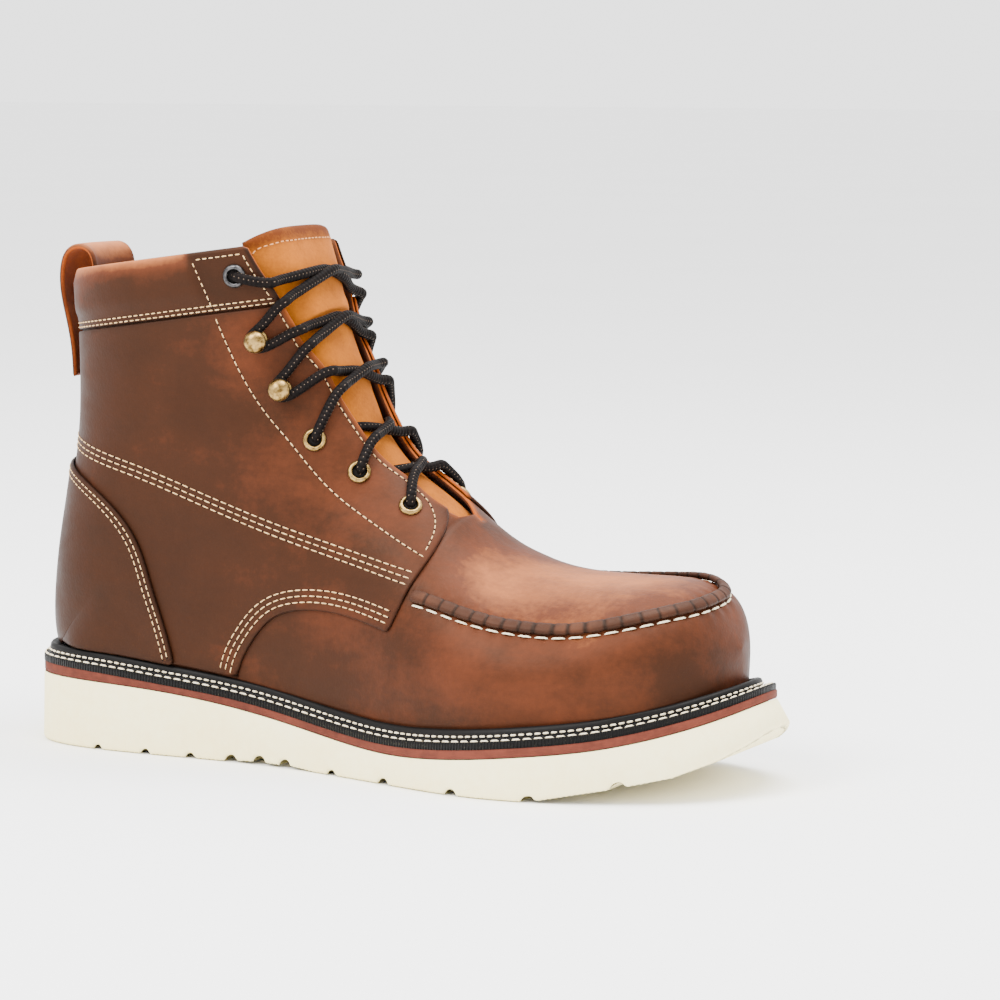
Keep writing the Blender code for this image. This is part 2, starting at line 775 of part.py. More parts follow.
def make_pull_loop():
    bm = bmesh.new()
    y = np.linspace(-LOOP_HALF, LOOP_HALF, LOOP_COLUMNS + 1)
    curl = y ** 2 / (2 * BACK_RADIUS)
    rows = [[bm.verts.new(((x + c) * MM, across * MM, z * MM)) for across, c in zip(y, curl)]
            for x, z in smooth_path(LOOP_PATH, LOOP_STEPS)]
    for low, high in zip(rows, rows[1:]):
        for k in range(LOOP_COLUMNS):
            bm.faces.new((low[k], low[k + 1], high[k + 1], high[k]))
    loop = add_part("pull_loop", bm, LEATHER)
    thicken(loop, LOOP_THICK, MIDDLE)


def eye_places():
    """Seats of the eyelets and hooks on each side: place and outward normal in millimetres."""
    quarter = BVHTree.FromBMesh(upper_surface(SLIP + PANEL))
    collar = BVHTree.FromBMesh(upper_surface(SLIP + COLLAR_PAD))
    seats = {}
    for side in (OUTER, INNER):
        for k, (x, z, _) in enumerate(EYES):
            surface = collar if z > collar_line(x, 0)[1] else quarter
            hit = surface.ray_cast(Vector((x * MM, side * FAR * MM, z * MM)), Vector((0, -side, 0)))
            seats[side, k] = np.array(hit[0]) / MM, np.array(hit[1])
    return seats


def seat(piece, place, normal):
    """Stand a piece on the leather, its own +Z along the outward normal."""
    piece.location = Vector(place * MM)
    piece.rotation_mode = 'QUATERNION'
    piece.rotation_quaternion = Vector(normal).to_track_quat('Z', 'Y')


def make_eyelet(name, place, normal, stock):
    bpy.ops.mesh.primitive_torus_add(major_segments=10, minor_segments=4, major_radius=EYELET_RING * MM,
                                     minor_radius=EYELET_WIRE * MM)
    ring = bpy.context.object
    ring.name = name
    ring.data.shade_smooth()
    ring.data.materials.append(stock)
    for collection in list(ring.users_collection):
        collection.objects.unlink(ring)
    BOOT.objects.link(ring)
    ring.parent = PLACE
    seat(ring, place + normal * (EYELET_WIRE + FITTING_LIFT), normal)


def make_hook(name, place, normal, stock):
    bm = bmesh.new()
    profile = [bm.verts.new((radius * MM, 0, height * MM)) for radius, height in HOOK_PROFILE]
    for start, stop in zip(profile, profile[1:]):
        bm.edges.new((start, stop))
    hook = add_part(name, bm, stock)
    turn = hook.modifiers.new("turned", 'SCREW')
    turn.steps = 8
    turn.render_steps = 8
    turn.use_merge_vertices = True
    turn.merge_threshold = 0.00001
    seat(hook, place + normal * FITTING_LIFT, normal)


def tube(points, radius):
    """Closed mesh of a round cord along points."""
    curve = bpy.data.curves.new("cord", 'CURVE')
    curve.dimensions = '3D'
    curve.bevel_depth = radius * MM
    curve.bevel_resolution = 1
    curve.use_fill_caps = True
    spline = curve.splines.new('POLY')
    spline.points.add(len(points) - 1)
    for point, place in zip(spline.points, points):
        point.co = (*(place * MM), 1)
    guide = bpy.data.objects.new("cord", curve)
    CUTTERS.objects.link(guide)
    mesh = bpy.data.meshes.new_from_object(guide.evaluated_get(bpy.context.evaluated_depsgraph_get()))
    bpy.data.objects.remove(guide, do_unlink=True)
    bm = bmesh.new()
    bm.from_mesh(mesh)
    bmesh.ops.remove_doubles(bm, verts=bm.verts, dist=1e-5)
    bmesh.ops.recalc_face_normals(bm, faces=bm.faces)
    return bm


def throat_edge(side, near):
    """Point of the throat's edge nearest to a place."""
    edge = np.array([half_section(station(row), side)[0] for row in np.arange(THROAT_ROW, COLLAR_ROW, 0.1)])
    return edge[np.linalg.norm(edge - near, axis=1).argmin()]


def crossing_point(row):
    """Where two strands cross over the tongue, over the crown line at a section row."""
    ahead, here, behind = (SECTION_AT(station(row + step))[:2] for step in (0.1, 0, -0.1))
    along = (ahead - behind) / np.linalg.norm(ahead - behind)
    x, z = here + np.array([along[1], -along[0]]) * CROSSING_LIFT
    return np.array([x, SECTION_AT(station(row))[4], z])


def strand(seats, k, side, crossing):
    """Route of one strand from an eye over the crossing to the next eye on the other side."""
    place, normal = seats[side, k]
    clear = EYE_CLEAR[EYES[k][2]]
    rise = normal * (LACE_RADIUS + SLIP)
    towards = crossing - place
    towards -= normal * (towards @ normal)
    start = place + towards / np.linalg.norm(towards) * clear + rise
    edge = throat_edge(side, (place + crossing) / 2)
    over = edge + normal * EDGE_RISE
    far_place, far_normal = seats[-side, k + 1]
    if k + 1 in UNDER_EYES:
        under = throat_edge(-side, far_place)
        end = under + np.array([0, side * UNDER_EDGE, 0])
        return smooth_path([start, over, crossing, end], LACE_STEPS)
    back = crossing - far_place
    back -= far_normal * (back @ far_normal)
    far_over = throat_edge(-side, (far_place + crossing) / 2) + far_normal * EDGE_RISE
    far_clear = EYE_CLEAR[EYES[k + 1][2]]
    end = far_place + back / np.linalg.norm(back) * far_clear + far_normal * (LACE_RADIUS + SLIP)
    return smooth_path([start, over, crossing, far_over, end], LACE_STEPS)


def make_fastening():
    seats = eye_places()
    for (side, k), (place, normal) in seats.items():
        kind = EYES[k][2]
        name = f"{kind}_{'inner' if side == INNER else 'outer'}_{k + 1}"
        make = make_hook if kind == "hook" else make_eyelet
        make(name, place, normal, DARK_METAL if k == len(EYES) - 1 else BRASS)
    for k, row in enumerate(CROSSING_ROWS):
        crossing = crossing_point(row)
        cross = add_part(f"lace_crossing_{k + 1}", tube(strand(seats, k, OUTER, crossing), LACE_RADIUS), CORD)
        other = add_cutter(f"lace_strand_{k + 1}", tube(strand(seats, k, INNER, crossing), LACE_RADIUS))
        cut(cross, other, 'UNION')


make_outsole()
make_midsole()
make_welt()
make_insole()
make_upper()
make_tongue()
make_panels()
make_moc_seam()
make_pull_loop()
make_fastening()
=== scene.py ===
"""Looks of a moc toe work boot, right foot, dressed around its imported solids.

Boot axes in millimetres: x from the back of the heel to the toe, y positive on the inner side of the foot,
z up from the floor. row_frame() turns them into metres in the frame of the solids.
"""

import json
import math

import bpy
import numpy as np
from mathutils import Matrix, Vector
from mathutils.bvhtree import BVHTree

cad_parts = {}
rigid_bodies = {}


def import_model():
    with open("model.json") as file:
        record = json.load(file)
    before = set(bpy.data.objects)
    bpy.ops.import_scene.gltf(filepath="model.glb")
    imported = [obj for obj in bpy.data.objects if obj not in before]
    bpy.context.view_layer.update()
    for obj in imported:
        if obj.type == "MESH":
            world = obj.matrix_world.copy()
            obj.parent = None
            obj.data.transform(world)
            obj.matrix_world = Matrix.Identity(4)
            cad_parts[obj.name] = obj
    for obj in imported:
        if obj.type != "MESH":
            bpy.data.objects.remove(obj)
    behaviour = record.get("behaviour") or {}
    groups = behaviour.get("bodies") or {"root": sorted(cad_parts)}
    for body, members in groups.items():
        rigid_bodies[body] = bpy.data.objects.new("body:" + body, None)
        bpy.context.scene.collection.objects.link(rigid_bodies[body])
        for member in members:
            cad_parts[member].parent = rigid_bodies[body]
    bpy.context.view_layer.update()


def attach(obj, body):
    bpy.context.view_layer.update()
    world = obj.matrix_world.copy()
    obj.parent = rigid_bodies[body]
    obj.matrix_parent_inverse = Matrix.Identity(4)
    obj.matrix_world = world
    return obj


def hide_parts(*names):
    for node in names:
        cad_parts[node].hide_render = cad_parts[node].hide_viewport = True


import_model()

MM = 0.001
SLIP = 0.3                # gap between pieces that touch
LENGTH = 309.0            # outsole, heel to toe
WALL = 2.0                # leather of the upper
PANEL = 1.2               # leather of the quarters, counters and backstay
PANEL_EDGE = 0.7          # rounding of their edges
SECOND_LAYER = 2.15       # underside of the counters and the backstay over the upper
COLLAR_PAD = 2.3          # padded collar band
COLLAR_FLAT = 0.9         # collar band where it isn't padded
BACKSTAY_HALF = 6.0
INSOLE = 4.0
INSOLE_CLEAR = 2.5        # footbed to the inside of the upper
TONGUE = 2.6
TONGUE_CLEAR = 1.8        # tongue to the inside of the upper
WELT_BEAD = 7.0           # top of the welt's bead over the midsole
FEATHER_LIFT = 0.8        # lower edge of the upper over the midsole
EDGE_ROUND = 1.6          # rounding at the foot of the outsole
INNER, OUTER = 1, -1      # sides of the boot, as the sign of y

# Outline of the sole: half-widths to the outer and the inner side
OUTLINE_HEEL = (0.0, 0.0)
OUTLINE_TOE = (LENGTH, 3.0)
OUTLINE = [
    # x, outer, inner
    (8, 29.5, 29.0),
    (22, 37.0, 36.5),
    (45, 40.3, 39.3),
    (90, 39.5, 35.5),
    (120, 40.5, 32.5),
    (150, 46.5, 34.5),
    (180, 54.5, 42.5),
    (212, 60.5, 52.0),
    (240, 58.0, 54.4),
    (265, 49.5, 49.0),
    (285, 38.3, 41.0),
    (300, 23.4, 29.6),
]
TREAD = [
    # x, height
    (0, 0.0),
    (96, 0.0),
    (106, 0.8),
    (128, 0.8),
    (138, 0.0),
    (236, 0.0),
    (248, 2.4),
    (262, 5.0),
    (284, 9.6),
    (297, 15.0),
    (304, 19.6),
    (LENGTH, 24.6),
]
SIDE_LINES = [
    # x, top of the outsole, top of the midsole
    (0, 27.2, 31.6),
    (40, 26.5, 30.3),
    (70, 24.8, 27.7),
    (100, 21.2, 24.4),
    (128, 16.8, 20.0),
    (150, 13.6, 16.9),
    (176, 11.6, 15.1),
    (200, 12.8, 16.4),
    (235, 16.6, 20.2),
    (262, 20.3, 24.0),
    (284, 25.6, 29.3),
    (300, 31.4, 34.9),
    (LENGTH, 35.8, 39.1),
]
NOTCHES = [
    # x, radius
    (39, 2.2),
    (61, 2.4),
    (81, 2.4),
    (99, 3.0),
    (112, 3.2),
    (124, 3.0),
    (147, 2.4),
    (173, 2.8),
    (205, 2.8),
    (236, 2.8),
    (267, 2.8),
]
NOTCH_DEPTH = 0.85        # share of the radius
TOE_FLARE = 4.0           # the tread reaches this far past the layers over it at the toe
FLARE_RUN = (258.0, 300.0)

# Sections of the upper, fanned from the toe to the collar, between the top line and the lower edge
SECTIONS = [
    # top_x, top_z, base_x, base_z, axis, outer, inner, tuck, waist,
    # square_outer, square_inner, square_low, throat
    (293.0, 52.0, 291.6, None, 5.0, 0.0, 0.0, 0.91, 0.40, 2.4, 2.6, 2.3, -40),
    (290.6, 58.3, 289.2, None, 5.0, 16.5, 14.0, 0.91, 0.40, 2.4, 2.6, 2.3, -40),
    (285.0, 68.6, 283.5, None, 5.5, 29.5, 25.0, 0.91, 0.40, 2.3, 2.6, 2.3, -40),
    (275.4, 74.2, 274.0, None, 6.0, 41.0, 34.0, 0.92, 0.40, 2.2, 2.6, 2.3, -40),
    (260.0, 75.7, 259.2, None, 6.5, 51.0, 40.0, 0.93, 0.38, 2.1, 2.5, 2.3, -40),
    (239.6, 75.6, 239.6, None, 7.0, 57.4, 41.5, 0.93, 0.36, 2.0, 2.5, 2.3, -40),
    (216.0, 77.6, 217.0, None, 7.0, 60.2, 39.5, 0.93, 0.34, 2.0, 2.4, 2.3, -30),
    (196.0, 85.2, 197.0, None, 6.0, 57.6, 35.5, 0.92, 0.33, 2.0, 2.3, 2.3, -12),
    (179.0, 99.0, 170.0, None, 4.0, 49.5, 32.5, 0.91, 0.31, 2.1, 2.2, 2.3, 8),
    (165.0, 110.0, 132.0, None, 2.0, 39.5, 31.0, 0.88, 0.33, 2.3, 2.3, 2.4, 11),
    (153.0, 119.5, 92.0, None, 0.5, 35.2, 32.0, 0.86, 0.36, 2.5, 2.5, 2.6, 13),
    (143.5, 133.0, 56.0, None, 0.0, 34.6, 33.8, 0.87, 0.40, 2.7, 2.7, 2.9, 15),
    (137.5, 146.0, 31.0, None, 0.0, 34.6, 34.1, 0.79, 0.42, 2.8, 2.8, 3.0, 17),
    (133.5, 156.0, 16.6, None, 0.0, 34.8, 34.3, 0.53, 0.43, 3.0, 3.0, 3.1, 19),
    (131.0, 164.0, 10.8, 33.5, 0.0, 35.0, 34.5, 0.0, 0.44, 3.0, 3.0, 3.1, 21.5),
    (129.5, 172.5, 7.4, 56.0, 0.0, 35.4, 34.9, 0.0, 0.44, 3.0, 3.0, 2.8, 24),
    (128.5, 180.5, 11.8, 90.0, 0.0, 36.0, 35.5, 0.0, 0.44, 3.0, 3.0, 2.55, 26.5),
    (128.0, 187.5, 16.6, 120.0, 0.0, 37.0, 36.5, 0.0, 0.45, 3.0, 3.0, 2.5, 29.4),
    (127.5, 194.0, 17.4, 151.0, 0.0, 38.0, 37.5, 0.0, 0.45, 3.0, 3.0, 2.4, 32.4),
    (127.0, 200.3, 16.2, 185.2, 0.0, 39.0, 38.5, 0.0, 0.45, 3.0, 3.0, 2.4, 35.0),
]
HEEL_ROW = 14             # from here on the sections close at the back
COLLAR_ROW = len(SECTIONS) - 1

# Welt: section from the lower outer corner to the bead against the upper
WELT_PROFILE = [
    # inset from the outline, height over the midsole
    (0.9, 0.3),
    (0.9, 2.0),
    (1.2, 2.7),
    (1.7, 2.9),
    (3.2, 2.75),
    (4.8, 2.9),
    (5.0, 3.6),
    (5.0, 5.2),
    (5.4, 6.3),
    (6.3, WELT_BEAD),
    (7.6, 6.8),
]
WELT_WIDTHS = [
    # x, share of the insets
    (0, 0.55),
    (40, 0.80),
    (120, 0.95),
    (250, 1.0),
    (LENGTH, 1.25),
]

TONGUE_TOP = 20.0
TONGUE_DOME = 0.9         # rows by which its corners stay lower
TONGUE_RISE = 3.6         # height for a row past the collar
TONGUE_WIDTHS = [
    # row, half width
    (6.5, 14),
    (8.5, 26),
    (11.5, 33),
    (14.5, 37),
    (16.5, 40),
    (18.5, 42),
]
TONGUE_SIDE_LEAN = 0.55    # share of the lean left at its sides
TONGUE_SETBACK = [
    # row, how far its middle leans back from the crown line
    (12, 0),
    (15, 2),
    (17, 6),
    (19, 11),
    (20, 13),
]
TONGUE_FOLDS = [
    # row, slant, half width, height
    (15.2, 0.4, 0.35, 0.7),
    (14.5, 0.5, 0.4, -0.7),
    (12.6, -0.3, 0.4, 0.6),
    (11.0, -0.3, 0.4, -0.6),
]

# Edges of the panels and rows of stitches, seen from the side
COLLAR_SEAM = (158.8, 0.1425)    # height over the back of the heel, and its rise for each millimetre forward
BEHIND, AHEAD = -20.0, 200.0     # limits well clear of the panels
QUARTER_FRONT = [
    # x, z
    (150, 125),
    (168, 108),
    (176.4, 100),
    (181.2, 92),
    (181.8, 84),
    (178.8, 74.7),
    (174.6, 64),
    (171, 55.6),
]
WING_EDGE = [
    # x, z
    (171, 55.6),
    (150, 59.7),
    (129, 60.2),
    (116.5, 56.4),
    (107.5, 47.3),
    (101, 36),
    (98.5, 20),
]
COUNTER_EDGE = [
    # x, z
    (BEHIND, 117),
    (8, 113.5),
    (26.5, 107.6),
    (44.3, 97.2),
    (56.3, 83.6),
    (63.6, 64.2),
    (69.2, 49),
    (71.8, 38.6),
    (74, 20),
]
EYESTAY_STITCH = [
    # x, z
    (78, 206),
    (84.4, 191.2),
    (91.4, 175.1),
    (97.1, 159.9),
    (106.8, 140.6),
    (122.4, 121.8),
    (138.7, 105),
    (155.9, 94),
    (178.9, 82.6),
    (190, 77),
]
SIDE_STITCH = [
    # x, z
    (BEHIND, 131),
    (5, 124),
    (28.8, 117),
    (55, 110.3),
    (85.8, 100.2),
    (115.8, 90.5),
    (145.6, 82.3),
    (179.3, 74.6),
    (195, 71),
]

# Raised seam around the toe, seen from above
SEAM_TOE = (283.4, 3.5)
SEAM = [
    # x, outer, inner
    (179.5, 40.2, 32.8),
    (211, 41.8, 34.0),
    (231, 41.2, 33.5),
    (246.5, 39.2, 31.5),
    (261.5, 33.8, 27.5),
    (273.8, 24.6, 20.5),
    (281, 13.6, 14.0),
]
PLEAT = 6.6               # between the pleats of the seam
RIDGE_HALF, RIDGE_RISE = 2.5, 1.35
GATHER, GATHER_REACH = 0.45, 5.0    # pleats of the leather beside the seam
DIP, DIP_REACH = 0.5, 3.0           # and the hollow under it

LOOP_HALF = 15.0
LOOP_THICK = 2.0
BACK_RADIUS = 50.0        # curve of the back of the collar across the boot
LOOP_PATH = [
    # x, z
    (12.0, 143),
    (11.3, 154),
    (9.0, 166),
    (6.8, 176),
    (6.6, 185),
    (9.2, 191.8),
    (14.3, 194.2),
    (19.2, 192.6),
    (21.6, 187),
    (21.5, 177),
    (21.2, 167),
]

EYES = [
    # x, z, kind
    (167.5, 99.7, "eyelet"),
    (146.6, 112.0, "eyelet"),
    (130.0, 124.1, "eyelet"),
    (117.4, 142.7, "hook"),
    (108.4, 161.9, "hook"),
    (101.2, 186.1, "eyelet"),
]
LACE_RADIUS = 2.0


def natural_spline(knots, values):
    """Natural cubic spline through rows of values, as a function of the knot parameter."""
    knots = np.asarray(knots, float)
    values = np.asarray(values, float)
    gap = np.diff(knots)
    last = len(knots) - 1
    system = np.eye(last + 1)
    right = np.zeros_like(values)
    for i in range(1, last):
        system[i, i - 1:i + 2] = gap[i - 1], 2 * (gap[i - 1] + gap[i]), gap[i]
        right[i] = 6 * ((values[i + 1] - values[i]) / gap[i] - (values[i] - values[i - 1]) / gap[i - 1])
    bend = np.linalg.solve(system, right)

    def at(t):
        t = np.asarray(t, float)
        i = np.clip(np.searchsorted(knots, t) - 1, 0, last - 1)
        width = gap[i][..., None]
        a = (knots[i + 1] - t)[..., None] / width
        b = 1 - a
        curve = (a ** 3 - a) * bend[i] + (b ** 3 - b) * bend[i + 1]
        return a * values[i] + b * values[i + 1] + curve * width ** 2 / 6

    return at


def unit(vectors):
    """Vectors brought to length 1."""
    return vectors / np.linalg.norm(vectors, axis=-1, keepdims=True)


def lookup(table, x):
    """Second column of a table, also between its rows."""
    return np.interp(x, *np.transpose(table))


def columns_at(values, run, at):
    """Rows of values at places along them, where run is the place of each row."""
    return np.stack([np.interp(at, run, column) for column in values.T], axis=-1)


def convolved(values, weights):
    """Each column of values smoothed with the same weights."""
    return np.stack([np.convolve(column, weights, 'valid') for column in values.T], axis=1)


def chord_knots(points):
    """Running distance along rows of points."""
    steps = np.linalg.norm(np.diff(points, axis=0), axis=1)
    return np.concatenate([[0.0], np.cumsum(steps)])


def smooth_path(points, count):
    """Evenly spaced points on a smooth curve through a few."""
    points = np.array(points, float)
    knots = chord_knots(points)
    return natural_spline(knots, points)(np.linspace(0, knots[-1], count))


def even_path(points, step):
    """Points a step apart along a dense path."""
    points = np.asarray(points, float)
    run = chord_knots(points)
    return columns_at(points, run, np.linspace(0, run[-1], max(int(run[-1] / step), 2) + 1))


def outline_curve(samples=1440):
    """Dense closed outline of the sole, from the heel along the outer side, with its outward normals."""
    outer = [(x, -y) for x, y, _ in OUTLINE]
    inner = [(x, y) for x, _, y in reversed(OUTLINE)]
    loop = [OUTLINE_HEEL, *outer, OUTLINE_TOE, *inner]
    wrap = 4
    points = np.array(loop[-wrap:] + loop + loop[:wrap], float)
    knots = chord_knots(points)
    curve = natural_spline(knots, points)
    t = np.linspace(knots[wrap], knots[wrap + len(loop)], samples, endpoint=False)
    along = curve(t + 0.01) - curve(t - 0.01)
    normal = np.stack([along[:, 1], -along[:, 0]], axis=1)
    return curve(t), unit(normal)


OUTLINE_POINTS, OUTLINE_NORMALS = outline_curve()
ORIGIN_Y = (OUTLINE_POINTS[:, 1].min() + OUTLINE_POINTS[:, 1].max()) / 2
SHIFT = np.array([LENGTH / 2, ORIGIN_Y, 0])
SIDE_AT = natural_spline([row[0] for row in SIDE_LINES], [row[1:] for row in SIDE_LINES])


def row_frame(points):
    """Boot millimetres to metres in the frame of the solids."""
    return (np.asarray(points, float) - SHIFT) * MM


def side_line(name, x):
    """Height of a line along the side of the sole."""
    if name == "tread":
        return lookup(TREAD, x)
    return SIDE_AT(np.clip(x, 0, LENGTH))[..., ("outsole", "midsole").index(name)]


def section_rows():
    """Section table with the sole heights filled in, and mirrored past the toe so that it closes round."""
    rows = []
    for row in SECTIONS:
        base_z = row[3]
        if base_z is None:
            base_z = float(side_line("midsole", row[2])) + FEATHER_LIFT
        rows.append((*row[:3], base_z, *row[4:]))
    rows = np.array(rows, float)
    beyond = rows[2:0:-1].copy()
    beyond[:, 5:7] *= -1
    return np.vstack([beyond, rows])


SECTION_ROWS = section_rows()
SECTION_KNOTS = chord_knots(SECTION_ROWS[:, :7])
SECTION_AT = natural_spline(SECTION_KNOTS, SECTION_ROWS)
FIRST_ROW = 2


def station(row):
    """Curve parameter of a section row, also between rows."""
    return np.interp(row + FIRST_ROW, np.arange(len(SECTION_KNOTS)), SECTION_KNOTS)


def section_curve(t, side, samples=160):
    """Points of one half section from the crown to the lower edge, without the throat."""
    (top_x, top_z, base_x, base_z, axis, outer, inner, tuck, waist,
     square_outer, square_inner, square_low, _) = SECTION_AT(t)
    reach = inner if side == INNER else outer
    square = square_inner if side == INNER else square_outer
    tuck = 0.0 if t >= station(HEEL_ROW) else max(tuck, 0.0)
    angle = np.linspace(0, math.pi / 2, samples)
    sine = np.clip(np.sin(angle), 0, 1)
    cosine = np.clip(np.cos(angle), 0, 1)
    height = np.concatenate([waist + (1 - waist) * cosine ** (2 / square),
                             waist * (1 - sine[1:] ** (2 / square_low))])
    width = np.concatenate([sine ** (2 / square),
                            tuck + (1 - tuck) * cosine[1:] ** (2 / square_low)])
    x = base_x + (top_x - base_x) * height
    y = axis + side * max(reach, 0.0) * width
    z = base_z + (top_z - base_z) * height
    return np.stack([x, y, z], axis=1)


def along_curve(points, start, stop, count):
    """Evenly spaced points along a curve between two of its lengths."""
    return columns_at(points, chord_knots(points), np.linspace(start, stop, count))


def half_section(row, side, columns):
    """Points of one half section from the throat or crown to the lower edge, and whether it is open."""
    t = station(row)
    points = section_curve(t, side)
    length = chord_knots(points)
    throat = SECTION_AT(t)[-1]
    start = 0.0
    if throat > 0:
        widest = np.abs(points[:, 1]).argmax()
        start = np.interp(throat, np.abs(points[:widest + 1, 1]), length[:widest + 1])
    return along_curve(points, start, length[-1], columns + 1), throat > 0


WELD_DIGITS = 3


def joined(parts):
    """One list of points and faces from several."""
    points, faces, count = [], [], 0
    for some, tri in parts:
        points.append(some)
        faces.append(tri + count)
        count += len(some)
    return np.vstack(points), np.vstack(faces)


def copies(points, faces):
    """Points and faces of many forms that share one list of faces."""
    steps = points.shape[1] * np.arange(len(points))[:, None, None]
    return points.reshape(-1, 3), (faces[None] + steps).reshape(-1, 3)


def length_to_end(grid):
    """Length from each point of a grid down its column to the last row."""
    step = np.linalg.norm(np.diff(grid, axis=0), axis=2)
    return np.vstack([np.cumsum(step[::-1], axis=0)[::-1], np.zeros(grid.shape[1])])


def grid_faces(rows, columns, flip=False):
    """Two triangles for each cell of a grid of vertices, row by row."""
    i = np.arange(rows - 1)[:, None] * columns + np.arange(columns - 1)[None]
    a, b, c, d = (k.ravel() for k in (i, i + 1, i + columns + 1, i + columns))
    faces = np.vstack([np.stack([a, b, c], 1), np.stack([a, c, d], 1)])
    return faces[:, ::-1] if flip else faces


def weld(v, tri):
    """Merge vertices in the same place and drop triangles that collapse; the last result marks those kept."""
    places = np.round(v[:, :3], WELD_DIGITS)
    _, first, back = np.unique(places, axis=0, return_index=True, return_inverse=True)
    tri = back.reshape(-1)[tri]
    kept = (tri != np.roll(tri, 1, axis=1)).all(1)
    return v[first], tri[kept], kept


def edges_of(tri):
    """Edges of triangles, three for each in turn, the lower vertex first."""
    return np.sort(np.stack([tri, np.roll(tri, -1, 1)], 2).reshape(-1, 2), 1)


def vertex_normals(points, tri):
    """Smooth normals of a triangle mesh."""
    face = np.cross(points[tri[:, 1]] - points[tri[:, 0]], points[tri[:, 2]] - points[tri[:, 0]])
    normal = np.zeros_like(points)
    for k in range(3):
        np.add.at(normal, tri[:, k], face)
    return normal / np.maximum(np.linalg.norm(normal, axis=1), 1e-12)[:, None]


def eased(points, tri, share, rounds):
    """Points drawn to their neighbours by a share of each, in and out by turns so that they don't shrink."""
    a, b = np.unique(edges_of(tri), axis=0).T
    number = np.bincount(np.concatenate([a, b]), minlength=len(points))[:, None]
    points = points.copy()
    for pull in (0.50, -0.51) * rounds:
        total = np.zeros_like(points)
        np.add.at(total, a, points[b])
        np.add.at(total, b, points[a])
        points += pull * share[:, None] * (total / number - points)
    return points


# Columns of the base mesh
POS, NRM = slice(0, 3), slice(3, 6)
THROAT_GAP, LOW_GAP, COLLAR_GAP, ROW = 6, 7, 8, 9
ROW_STEPS = 12
GRID_COLUMNS = 64
NOT_NEAR = 500.0
EASE_ROWS, EASE_ROUNDS = 0.5, 24       # smoothing of the crease where the sections close at the heel
EASE_TOP, EASE_FADE = 85.0, 25.0
TRIM_REACH = 8.0


def base_mesh():
    """Outer surface of the upper: places, normals, and distances from its throat, lower edge and collar."""
    rows = np.linspace(0, COLLAR_ROW, COLLAR_ROW * ROW_STEPS + 1)
    parts = []
    for side in (OUTER, INNER):
        grid = np.zeros((len(rows), GRID_COLUMNS + 1, ROW + 1))
        for i, row in enumerate(rows):
            points, is_open = half_section(row, side, GRID_COLUMNS)
            run = chord_knots(points)
            grid[i, :, POS] = points
            grid[i, :, THROAT_GAP] = run if is_open else NOT_NEAR
            grid[i, :, LOW_GAP] = run[-1] - run if row < HEEL_ROW else NOT_NEAR
            grid[i, :, ROW] = row
        grid[:, :, COLLAR_GAP] = length_to_end(grid[:, :, POS])
        parts.append((grid.reshape(-1, ROW + 1), grid_faces(*grid.shape[:2], side == OUTER)))
    v, tri, _ = weld(*joined(parts))
    share = np.exp(-((v[:, ROW] - HEEL_ROW) / EASE_ROWS) ** 2)
    share *= np.clip((EASE_TOP - v[:, 2]) / EASE_FADE, 0, 1) * (v[:, LOW_GAP] > 1)
    v[:, POS] = eased(v[:, POS], tri, share, EASE_ROUNDS)
    v[:, NRM] = vertex_normals(v[:, POS], tri)
    return v, tri


BASE, BASE_TRI = base_mesh()
BASE_TREE = BVHTree.FromPolygons(BASE[:, POS].tolist(), BASE_TRI.tolist())


def split(v, tri, level):
    """Split triangles where the last vertex column crosses a level; new vertices blend all columns."""
    v = v.copy()
    f = v[:, -1] - level
    f[np.abs(f) < 1e-4] = 0.0
    v[f == 0, -1] = level
    sign = np.sign(f)
    keys, back = np.unique(edges_of(tri), axis=0, return_inverse=True)
    cross = sign[keys[:, 0]] * sign[keys[:, 1]] < 0
    a, b = keys[cross].T
    share = f[a] / (f[a] - f[b])
    extra = v[a] + (v[b] - v[a]) * share[:, None]
    extra[:, -1] = level
    index = np.full(len(keys), -1)
    index[cross] = len(v) + np.arange(cross.sum())
    mid = index[back.reshape(-1)].reshape(-1, 3)
    count = (mid >= 0).sum(1)
    out = [tri[count == 0]]
    for i in range(3):
        corner = np.roll(tri, -i, 1)
        new = np.roll(mid, -i, 1)
        one = (count == 1) & (new[:, 0] >= 0)
        t, c = corner[one], new[one, 0]
        out += [np.stack([t[:, 0], c, t[:, 2]], 1), np.stack([c, t[:, 1], t[:, 2]], 1)]
        two = (count == 2) & (new[:, 0] >= 0) & (new[:, 2] >= 0)
        t, c, d = corner[two], new[two, 0], new[two, 2]
        out += [np.stack([t[:, 0], c, d], 1), np.stack([c, t[:, 1], t[:, 2]], 1),
                np.stack([c, t[:, 2], d], 1)]
    return np.vstack([v, extra]), np.vstack(out)


def compact(v, tri):
    """Drop vertices that no triangle uses."""
    used, back = np.unique(tri, return_inverse=True)
    return v[used], back.reshape(tri.shape)


def trimmed(distance, levels, *extra):
    """The base mesh where a distance is positive, split along levels of it.

    Extra fields follow the columns of the base mesh, and the distance is the last column.
    """
    v, tri = np.column_stack([BASE, *extra, distance]), BASE_TRI
    near = (v[tri][:, :, -1] > -TRIM_REACH).any(1)
    v, tri = compact(v, tri[near])
    for level in (0.0, *levels):
        v, tri = split(v, tri, level)
    v, tri = compact(v, tri[v[tri][:, :, -1].mean(1) > 0])
    v[:, NRM] = unit(v[:, NRM])
    return v, tri


